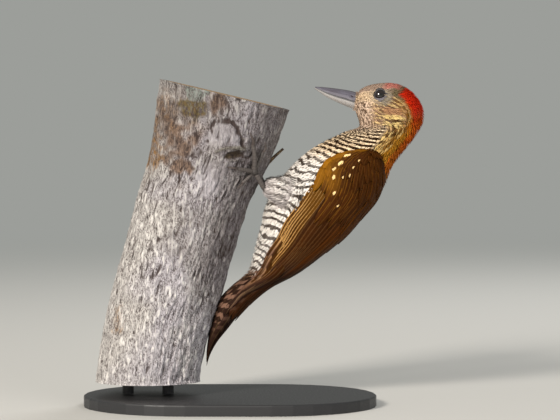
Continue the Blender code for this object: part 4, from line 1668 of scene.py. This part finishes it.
def eye_lid(sign):
    """A wrinkled ring of bare skin, a little taller than wide."""

    def rim(s, t):
        bumps = 1 + 0.06 * np.sin(tau * s * LID_WRINKLES)
        major = LID_RADIUS + LID_THICK[0] * np.cos(tau * t) * bumps
        x, z = major * np.cos(tau * s) * 0.98, major * np.sin(tau * s) * 1.04
        y = -(LID_OUT + LID_THICK[1] * np.sin(tau * t) * bumps)
        return np.stack((x, y * sign, z), axis=1) * MM + EYE * (1, sign, 1)

    return wrapped(104, 12, rim, cap=False)


# How far the toes lie over the limb's smooth surface, in millimetres.
GAP = 0.3
SHANK_RADIUS, PAD_RADIUS = 1.25, 1.7
FOOT_HEIGHT, FOOT_BEARING = 106.0, radians(40)
# Turn round the limb, rise along it, and radius at the root and the tip of each toe.
TOES = (
    (radians(-1), 9.0, 1.15, 0.8),
    (radians(15), 12.5, 1.2, 0.85),
    (radians(22), 1.6, 1.15, 0.8),
    (radians(7), -5.2, 1.0, 0.7),
)
CLAW_SHARE = 0.42
CLAW_ARCH = 1.5
CLAW_TIP = 0.28


def toe_lines(sign, turn, rise_, root, tip):
    """Middle lines and radii of a toe and its claw, over the bark."""
    s = np.array((0.0, 0.35, 0.7, 1.0))
    radii = root + (tip - root) * s
    lift = GAP + radii + 0.35 * np.sin(pi * s)
    toe = limb_point(FOOT_HEIGHT + rise_ * s, (FOOT_BEARING + turn * s) * sign, lift)
    on = 0.97 + CLAW_SHARE * s
    thin = tip * 0.85 + (CLAW_TIP - tip * 0.85) * s
    lift = GAP + thin + tip * 0.5 * (1 - s) + CLAW_ARCH * np.sin(pi * s) * (1 - s)
    claw = limb_point(FOOT_HEIGHT + rise_ * on, (FOOT_BEARING + turn * on) * sign, lift)
    return (toe, radii), (claw, thin)


def scaly(line, radii, scutes, depth=0.07):
    """A scaly tube: rings of scutes along it, rounded ends."""
    base = tube_place(line, radii)
    core = tube_place(line, [0.0] * len(radii))

    def place(s, t):
        shell, middle = base(s, t), core(s, t)
        ends = np.minimum(np.clip(t / 0.06, 0, 1), np.clip((1 - t) / 0.06, 0, 1)) ** 0.5
        wave = np.abs(np.sin(pi * scutes * t)) ** 0.5
        top = rise(np.sin(tau * s), -0.3, 0.6)
        grow = (1 - depth * (1 - wave) * (0.4 + 0.6 * top)) * (0.25 + 0.75 * ends)
        return middle + (shell - middle) * grow[:, None]

    def values(s, t):
        wave = np.abs(np.sin(pi * scutes * t))
        return {"scale": np.stack((wave, s, t), axis=1)}

    return wrapped(16, max(24, scutes * 4), place, values)


def foot_pad(sign):
    return limb_point(FOOT_HEIGHT, FOOT_BEARING * sign, GAP + PAD_RADIUS)


def foot_parts(sign):
    """The toes with the pad they spring from, and the claws."""
    toes, claws = [], []
    for toe in TOES:
        (line, radii), (claw_line, claw_radii) = toe_lines(sign, *toe)
        toes.append(scaly(line, radii, 9))
        claws.append(wrapped(12, 20, tube_place(claw_line, claw_radii)))
    ball = bmesh.new()
    place = Matrix.Translation(Vector(foot_pad(sign)) * MM)
    bmesh.ops.create_icosphere(ball, subdivisions=4, radius=PAD_RADIUS * MM, matrix=place)
    return [*toes, ball], claws


def shank_part(sign):
    """The scaly shank, from inside the thigh's feathers to the pad."""
    pad = foot_pad(sign)
    knee, ankle = KNEE * (1, sign, 1), ANKLE * (1, sign, 1)
    start = pad + unit(ankle - pad)[0] * PAD_RADIUS * 0.8
    line = [ankle + (knee - ankle) * 0.3, ankle, (ankle + start) / 2, start]
    return scaly(line, [SHANK_RADIUS * k for k in (1.0, 1.0, 0.92, 1.0)], 8)


# ---------------------------------------------------------------------------------------------
# Limb
# ---------------------------------------------------------------------------------------------

# Height, where the middle lies along x, and radius.
LIMB = np.array(
    (
        (11.0, -37.4, 23.6),
        (29.7, -34.4, 24.3),
        (47.7, -29.5, 25.4),
        (70.2, -23.2, 25.4),
        (92.7, -16.4, 26.3),
        (115.2, -7.7, 28.4),
        (137.7, -2.3, 30.6),
        (150.0, 1.0, 32.0),
    )
)
LIMB_FOOT = LIMB[0, 0]
LIMB_ROUND = 0.95
# A point that the sawn top passes through, and its tilt.
LIMB_TOP = (-1.5, 140.0)
LIMB_TILT = radians(13.5)
LIMB_LEAN = radians(-15)
# The swelling round the branch scar: height, bearing, spread and rise.
KNOT = (119.5, radians(82), 9.0, 1.3)
# The scar's arch as half an ellipse: middle x and z, half width and height.
SCAR = (-2.3, 116.5, 8.8, 12.4)
TWIG = ((16.6, 3.0, 108.8), (20.5, 3.2, 112.6), (24.0, 3.4, 115.7))
TWIG_RADII = (0.9, 0.7, 0.55)
# Growths and stretches of colour: x and z of the middle, half sizes, softness, strength.
GROWTHS = {
    "lichen": ((-14.5, 141.0, 6.0, 5.0, 0.25, 1.0),),
    "moss": ((-16.0, 134.5, 10.0, 7.0, 0.5, 1.0),),
    "ochre": (
        (-36.0, 118.0, 8.0, 17.0, 0.6, 1.0),
        (-27.0, 134.0, 8.0, 12.0, 0.6, 0.5),
        (-50.5, 41.0, 4.0, 8.0, 0.6, 0.7),
    ),
    "warm": (
        (-24.0, 124.0, 15.0, 22.0, 0.9, 1.0),
        (-21.0, 108.5, 7.0, 6.0, 0.5, 1.0),
        (-6.0, 136.0, 6.0, 8.0, 0.7, 1.0),
    ),
    # a patch of painted shadow on the bark by the foot
    "painted_shade": ((3.0, 107.0, 15.0, 17.0, 0.6, 0.9),),
    "calm": ((-9.0, 104.0, 8.0, 9.0, 0.5, 1.0),),
}


def limb_row(height):
    return spline(LIMB, np.interp(height, LIMB[:, 0], np.arange(len(LIMB))))


def limb_point(height, bearing, lift=0.0):
    """A point on the limb's smooth surface in millimetres, or over it."""
    given = (np.asarray(value, float) for value in (height, bearing, lift))
    height, bearing, lift = np.broadcast_arrays(*given)
    row = limb_row(height)
    middle, radius = row[..., 1], row[..., 2]
    lobes = 1 + 0.012 * np.cos(3 * bearing + 0.02 * height) + 0.008 * np.cos(5 * bearing - 1.0)
    knot_height, knot_bearing, spread, swelling = KNOT
    away = ((height - knot_height) ** 2 + (radius * (bearing - knot_bearing)) ** 2) / spread**2
    reach = radius * lobes + swelling * np.exp(-away)
    x = middle + (reach + lift) * np.cos(bearing)
    y = -(reach * LIMB_ROUND + lift) * np.sin(bearing)
    return np.stack((x, y, height), axis=-1)


def limb_top(x):
    """The height of the sawn top."""
    return LIMB_TOP[1] - (x - LIMB_TOP[0]) * np.tan(LIMB_TILT)


def round_limb(bearing, height, count, tall, seed):
    """Smooth random numbers over the limb: so many steps round it, each so tall."""
    return waver(bearing / tau * count, height / tall, seed, count)


def bark_relief(bearing, height):
    """How far the bark lies below its outermost surface, 0 to 1, and how cool its grey is: coolest on
    the right, away from the key lamp, as painted shade.
    """
    bend = 0.011 * round_limb(bearing, height, 9, 22.0, 4.0)
    bend = bend + 0.005 * round_limb(bearing, height, 30, 7.0, 5.0)

    def rough(count, tall, seed):
        return round_limb(bearing + tau * bend, height, count, tall, seed)

    calm = rise(rough(8, 18.0, 9.0), -0.1, 0.5)
    crack = 1 - smooth(np.abs(rough(84, 9.0, 7.0)) / 0.22)
    depth = 0.4 - 0.09 * rough(40, 12.0, 2.0) - 0.26 * rough(110, 6.0, 3.0)
    depth = depth - 0.2 * rough(160, 3.0, 6.0) + 0.36 * crack * (1 - 0.7 * calm)
    # painted shade: the cooler grey lies on the right, away from the key lamp
    cool = rise(np.cos(bearing) + 0.5 * rough(10, 14.0, 11.0), -0.7, 0.6)
    return np.clip(depth, 0.0, 1.3), cool


def bell(value, middle, width):
    return np.exp(-(((value - middle) / width) ** 2))


def scar_ring(x, z):
    """One on the arch of the branch scar, less inside it and more outside."""
    middle, foot, wide, tall = SCAR
    return np.hypot((x - middle) / wide, (z - foot) / tall)


def scar_marks(x, z, front):
    """The branch scar: an arched groove, the hollow in it and its pale lip. The groove and the hollow
    take painted shade.
    """
    rough, broken = waver(x / 1.6, z / 1.6, 21.0), waver(x / 3.1, z / 2.6, 23.0)
    ring = scar_ring(x, z) + 0.03 * rough + 0.03 * broken
    over = smooth((z - np.where(x < SCAR[0], 120.5, 115.5)) / 2.0) * front
    groove = bell(ring, 1.0, 0.09) * over * (0.5 + 0.6 * rise(x, -3, 5) + 0.15 * broken)
    groove = groove + 0.35 * bell(ring, 0.72, 0.06) * over * rise(x, -2, 3)
    sill = 116.9 - 0.026 * (x - 2.5) ** 2 + 0.25 * rough
    lip = bell(z, sill, 0.7 + 0.5 * rise(x, -4, 8)) * fall(x, 8.8, 2) * rise(x, -7.5, 3) * front
    low = bell(z, 111.2, 0.5) * band(x, 0.0, 4.5, 1.5) * front
    hollow = np.hypot((x - 2.2) / 4.2, (z - 113.6 - 0.12 * (x - 2.2)) / 1.7) + 0.2 * rough
    return groove, fall(hollow, 1.3, 0.9) * front, lip + 0.6 * low


# Rows of faces up the limb, and over each of its sawn ends.
LIMB_ROWS, END_ROWS = 216, 10


def limb_places(s, t):
    """What the shape and the colours of the limb depend on, at each place of its grid."""
    k = t * (LIMB_ROWS + 2 * END_ROWS)
    bearing = tau * s - pi
    up = np.clip((k - END_ROWS) / LIMB_ROWS, 0, 1)
    inward = np.clip(np.maximum(END_ROWS - k, k - END_ROWS - LIMB_ROWS) / END_ROWS, 0, 1)
    top = LIMB_TOP[1] + np.zeros_like(bearing)
    for _ in range(4):
        top = limb_top(limb_point(top, bearing)[..., 0])
    height = LIMB_FOOT + (top - LIMB_FOOT) * up
    depth, cool = bark_relief(bearing, height)
    x = limb_point(height, bearing)[..., 0]
    groove, hollow, lip = scar_marks(x, height, rise(np.sin(bearing), 0.3, 0.2))
    return SimpleNamespace(
        bearing=bearing,
        height=height,
        x=x,
        up=up,
        inward=inward,
        depth=depth,
        cool=cool,
        groove=groove,
        hollow=hollow,
        lip=lip,
    )


def limb_shape(at, relief):
    """The limb's points in metres: bark sunk by its relief, and sawn ends drawn to the pith."""
    worn_edge = rise(at.up, 0, 0.012) * fall(at.up, 1, 0.012)
    sunk = at.depth * (1 - 0.7 * at.lip) + 0.8 * at.groove + 1.3 * at.hollow
    sunk = sunk * worn_edge - 0.35 * at.lip
    point = limb_point(at.height, at.bearing, -sunk * relief / MM)
    middle = limb_row(at.height)[:, 1]
    level = np.where(at.up > 0.5, limb_top(middle), at.height)
    pith = np.stack((middle, np.zeros_like(level), level), axis=-1)
    return (point + (pith - point) * (at.inward * 0.999)[:, None]) * MM


def limb_colours(at):
    """What the bark's material reads: its relief, its painted shade, what grows on it and its stains."""
    x, height = at.x, at.height
    blotch = round_limb(at.bearing, height, 14, 6.0, 19.0)
    near = rise(np.sin(at.bearing) + 0.35 * blotch, -0.5, 0.35)
    rough = 0.3 * (waver(x / 2.2, height / 2.2, 12.0) + waver(x / 5.0, height / 5.0, 14.0))

    def growth(kind):
        """Patches of one kind on the side of the bird, the strongest where they meet: growths, stains
        and the painted shadow by the foot.
        """
        found = []
        for cx, cz, wide, tall, soft, strength in GROWTHS[kind]:
            away = np.hypot((x - cx) / wide, (height - cz) / tall)
            found.append(strength * smooth((1.0 - away + rough) / soft) * near)
        return np.max(found, axis=0)

    def behind(tall, seed):
        """Scattered growths on the limb's back."""
        return (1 - near) * rise(round_limb(at.bearing, height, 30, tall, seed), 0.5, 0.2)

    lichen = growth("lichen") + behind(7.0, 15.0)
    moss = np.maximum(growth("moss") * (1 - lichen) + 0.8 * behind(9.0, 16.0), 0.45 * at.hollow)
    # painted shade: darker on the right, away from the key lamp, in a band at mid height, over the top
    # and by the foot
    shaded_side = rise(np.cos(at.bearing), 0.15, 0.5) * rise(height, 30.0, 40.0)
    belt = band(height, 64.0, 100.0, 18.0) * rise(x, -36.0, 12.0) * (0.5 + 0.3 * blotch)
    upper = rise(height, 88.0, 30.0) * (0.66 + 0.3 * blotch)
    painted_shade = np.max((shaded_side, belt, upper, growth("painted_shade")), axis=0)
    # painted shade: deepest where the bark is most sunk, in the scar's groove and in its hollow
    dark = at.depth * (0.78 + 0.22 * rise(height, 30.0, 40.0)) + 0.7 * at.groove + at.hollow
    inside = fall(scar_ring(x, height) + 0.1 * blotch, 1.0, 0.2) * rise(height, 117.0, 1.5) * near
    calm = np.maximum(inside, growth("calm"))
    ring = np.where(at.inward > 0, 1 - at.inward, 2.0)
    return {
        "bark": np.stack((dark, at.cool, at.lip - calm * (1 - at.lip)), axis=1),
        "growth": np.stack((lichen, moss, ring), axis=1),
        "stain": np.stack((growth("ochre"), growth("warm"), painted_shade), axis=1),
    }


def limb_part(look):
    """The cut limb, with the numbers that its paint reads."""

    def place(s, t):
        return limb_shape(limb_places(s, t), look.relief)

    def values(s, t):
        return limb_colours(limb_places(s, t))

    return wrapped(330, LIMB_ROWS + 2 * END_ROWS, place, values)


def twig_values(s, t):
    """The dead twig takes the limb's paint: dark, mossy, no timber showing."""
    none = np.zeros_like(s)
    dark = 0.6 + 0.12 * np.sin(tau * 3 * s + 9 * t)
    return {
        "bark": np.stack((dark, none + 0.5, none), axis=1),
        "growth": np.stack((none, none + 0.5, none + 2.0), axis=1),
        "stain": np.stack((none, none + 1.0, none), axis=1),
    }


# ---------------------------------------------------------------------------------------------
# Operators
# ---------------------------------------------------------------------------------------------


class WOODPECKER_OT_skin(bpy.types.Operator):
    """One seamless skin under the coat, in place of the flesh nodes"""

    bl_idname = "woodpecker.skin"
    bl_label = "Skin"

    def execute(self, context):
        look = context.scene.woodpecker_plumage
        mesh = remeshed(FLESH, *SKIN_FLESH)
        points = points_of(mesh)
        normals = np.empty(points.size)
        mesh.vertices.foreach_get("normal", normals)
        u, turn, _ = form().read(points)
        ground, _, _ = markings(u, turn, look, np.random.default_rng(look.seed))
        # the plumage colours, darkened as painted shade under the coat
        ground = blend(ground, look.thigh, thigh_lie(points)[0]) * PAINTED_COAT_SHADE
        ground = blend(ground, look.eye_skin, fall(eye_distance(points), 4.4, 0.8))
        depth = coat_depth(u, look) + UNDER_COAT
        move_points(mesh, points - normals.reshape(-1, 3) * depth[:, None])
        mesh.shade_smooth()
        set_colour(mesh, "ground", ground)
        set_uv(mesh, unwrap(u, turn))
        finish("skin", mesh, skin_material(), "barred_plumage", FLESH)
        return {"FINISHED"}


class WOODPECKER_OT_contour_feathers(bpy.types.Operator):
    """Contour feathers of the head, neck, trunk and thighs, and the tufts round the bill"""

    bl_idname = "woodpecker.contour_feathers"
    bl_label = "Contour Feathers"

    def execute(self, context):
        look = context.scene.woodpecker_plumage
        material = plumage_material("contour_feathers", 0.1)
        grow_body(look, material)
        grow_tufts(look, material)
        return {"FINISHED"}


class WOODPECKER_OT_flight_feathers(bpy.types.Operator):
    """Folded wings and the stiff tail"""

    bl_idname = "woodpecker.flight_feathers"
    bl_label = "Wings and Tail"

    def execute(self, context):
        look = context.scene.woodpecker_wing
        material = plumage_material("flight_feathers", 0.8)
        for side in SIDES:
            rng = np.random.default_rng(WING_SEED)
            grow_wing_core(side, look)
            grow_flights(side, look, material, rng)
            grow_coverts(side, look, material, rng)
        grow_tail(look, material)
        return {"FINISHED"}


class WOODPECKER_OT_bill(bpy.types.Operator):
    """Chisel bill in two halves, with nostrils"""

    bl_idname = "woodpecker.bill"
    bl_label = "Bill"

    def execute(self, context):
        material = bill_material(context.scene.woodpecker_horn)
        for name, upper, slot in (
            ("bill_upper", True, "bill_horn"),
            ("bill_lower", False, "bill_horn_pale"),
        ):
            mesh = solid(name, bill_part(upper), 50)
            finish(name + "_horn", mesh, material, slot, (name,))
        return {"FINISHED"}


class WOODPECKER_OT_eyes(bpy.types.Operator):
    """Glossy dark eyes set into lids of bare skin"""

    bl_idname = "woodpecker.eyes"
    bl_label = "Eyes"

    def execute(self, context):
        ball_paint = eye_material(context.scene.woodpecker_horn)
        lid_paint = lid_material(context.scene.woodpecker_plumage.eye_skin)
        for side, sign in SIDES.items():
            ball = solid("eye", eye_ball(sign))
            finish(f"eye_{side}_ball", ball, ball_paint, "eye_dark", (f"eye_{side}",))
            lid = solid("lid", eye_lid(sign))
            finish(f"eye_{side}_lid", lid, lid_paint, "foot_skin")
        return {"FINISHED"}


class WOODPECKER_OT_feet(bpy.types.Operator):
    """Scaly feet that grip the bark, with curved claws"""

    bl_idname = "woodpecker.feet"
    bl_label = "Feet"

    def execute(self, context):
        look = context.scene.woodpecker_horn
        skin, horn = foot_material(look), claw_material(look)
        for side, sign in SIDES.items():
            toes, claws = foot_parts(sign)
            finish(f"foot_{side}_toes", joined("toes", toes), skin, "foot_skin", (f"foot_{side}",))
            finish(f"foot_{side}_claws", joined("claws", claws), horn, "foot_skin")
            shank = joined("shank", [shank_part(sign)])
            finish(f"shank_{side}_skin", shank, skin, "foot_skin", (f"shank_{side}",))
        return {"FINISHED"}


class WOODPECKER_OT_limb(bpy.types.Operator):
    """The cut limb with bark, branch scar, lichen, sawn ends and a dead twig"""

    bl_idname = "woodpecker.limb"
    bl_label = "Limb"

    def execute(self, context):
        look = context.scene.woodpecker_limb
        twig = wrapped(14, 30, tube_place(TWIG, TWIG_RADII), twig_values)
        mesh = joined("limb", [limb_part(look), twig])
        finish("limb_bark", mesh, bark_material(look), "bark", ("perch_limb",))
        return {"FINISHED"}


class WOODPECKER_OT_stand(bpy.types.Operator):
    """Dark matt paint on the stand's base and rods"""

    bl_idname = "woodpecker.stand"
    bl_label = "Stand"

    def execute(self, context):
        material = stand_material(context.scene.woodpecker_stage)
        for name in ("stand_base", "stand_rod_1", "stand_rod_2"):
            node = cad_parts[name]
            node.data.materials.clear()
            node.data.materials.append(material)
        return {"FINISHED"}


FLOOR_RADIUS = 12.0
# Name, place, watts, size and colour of each lamp.
LIGHTS = (
    ("key", (-0.72, -1.18, 0.7), 24.5, 0.3, (1.0, 0.94, 0.86)),
    ("fill", (0.75, -1.1, 0.25), 6.0, 0.8, (1.0, 1.0, 1.0)),
    ("rim", (0.5, 0.9, 0.8), 6.0, 0.5, (1.0, 1.0, 1.0)),
)
LIT_SPOT = Vector((22.0, 0.0, 88.0)) * MM
CAMERA_AIM = Vector((22.5, 0.0, 88.2)) * MM
CAMERA_RISE = radians(2.5)
SENSOR_WIDTH, FOCAL_LENGTH = 36.0, 200.0


def facing(way):
    """The turn that points a lamp or a camera a given way."""
    return way.to_track_quat("-Z", "Y").to_euler()


class WOODPECKER_OT_stage(bpy.types.Operator):
    """Floor, lights and camera"""

    bl_idname = "woodpecker.stage"
    bl_label = "Stage"

    def execute(self, context):
        scene, look = context.scene, context.scene.woodpecker_stage
        shape = bmesh.new()
        bmesh.ops.create_circle(shape, cap_ends=True, segments=96, radius=FLOOR_RADIUS)
        floor = bpy.data.objects.new("floor", solid("floor", shape))
        scene.collection.objects.link(floor)
        floor.data.materials.append(floor_material(look))

        scene.world = bpy.data.worlds.new("studio")
        scene.world.use_nodes = True
        sky = scene.world.node_tree.nodes["Background"]
        sky.inputs["Color"].default_value = (*look.backdrop, 1.0)
        for name, spot, power, size, colour in LIGHTS:
            light = bpy.data.lights.new(name, "AREA")
            light.energy, light.size, light.color = power, size, colour
            lamp = bpy.data.objects.new(name, light)
            lamp.location = spot
            lamp.rotation_euler = facing(LIT_SPOT - Vector(spot))
            lamp.visible_glossy = name == "key"
            scene.collection.objects.link(lamp)

        camera = bpy.data.cameras.new("camera")
        camera.sensor_width, camera.lens = SENSOR_WIDTH, FOCAL_LENGTH
        back = Vector((0.0, -cos(CAMERA_RISE), sin(CAMERA_RISE)))
        scene.camera = bpy.data.objects.new("camera", camera)
        scene.camera.location = CAMERA_AIM + back * look.distance
        scene.camera.rotation_euler = facing(-back)
        scene.collection.objects.link(scene.camera)
        scene.view_settings.view_transform = "Standard"
        return {"FINISHED"}


class WOODPECKER_PT_panel(bpy.types.Panel):
    bl_label = "Woodpecker"
    bl_space_type = "VIEW_3D"
    bl_region_type = "UI"
    bl_category = "Woodpecker"

    def draw(self, context):
        for operator in OPERATORS:
            self.layout.operator(operator.bl_idname)


GROUPS = {
    "woodpecker_plumage": PlumageSettings,
    "woodpecker_wing": WingSettings,
    "woodpecker_horn": HornSettings,
    "woodpecker_limb": LimbSettings,
    "woodpecker_stage": StageSettings,
}
OPERATORS = (
    WOODPECKER_OT_skin,
    WOODPECKER_OT_contour_feathers,
    WOODPECKER_OT_flight_feathers,
    WOODPECKER_OT_bill,
    WOODPECKER_OT_eyes,
    WOODPECKER_OT_feet,
    WOODPECKER_OT_limb,
    WOODPECKER_OT_stand,
    WOODPECKER_OT_stage,
)


def register():
    for name, group in GROUPS.items():
        bpy.utils.register_class(group)
        setattr(bpy.types.Scene, name, PointerProperty(type=group))
    for operator in OPERATORS:
        bpy.utils.register_class(operator)
    bpy.utils.register_class(WOODPECKER_PT_panel)


def unregister():
    bpy.utils.unregister_class(WOODPECKER_PT_panel)
    for operator in reversed(OPERATORS):
        bpy.utils.unregister_class(operator)
    for name, group in GROUPS.items():
        delattr(bpy.types.Scene, name)
        bpy.utils.unregister_class(group)


def main():
    register()
    for operator in OPERATORS:
        getattr(bpy.ops.woodpecker, operator.bl_idname.split(".")[1])()


if __name__ == "__main__":
    main()
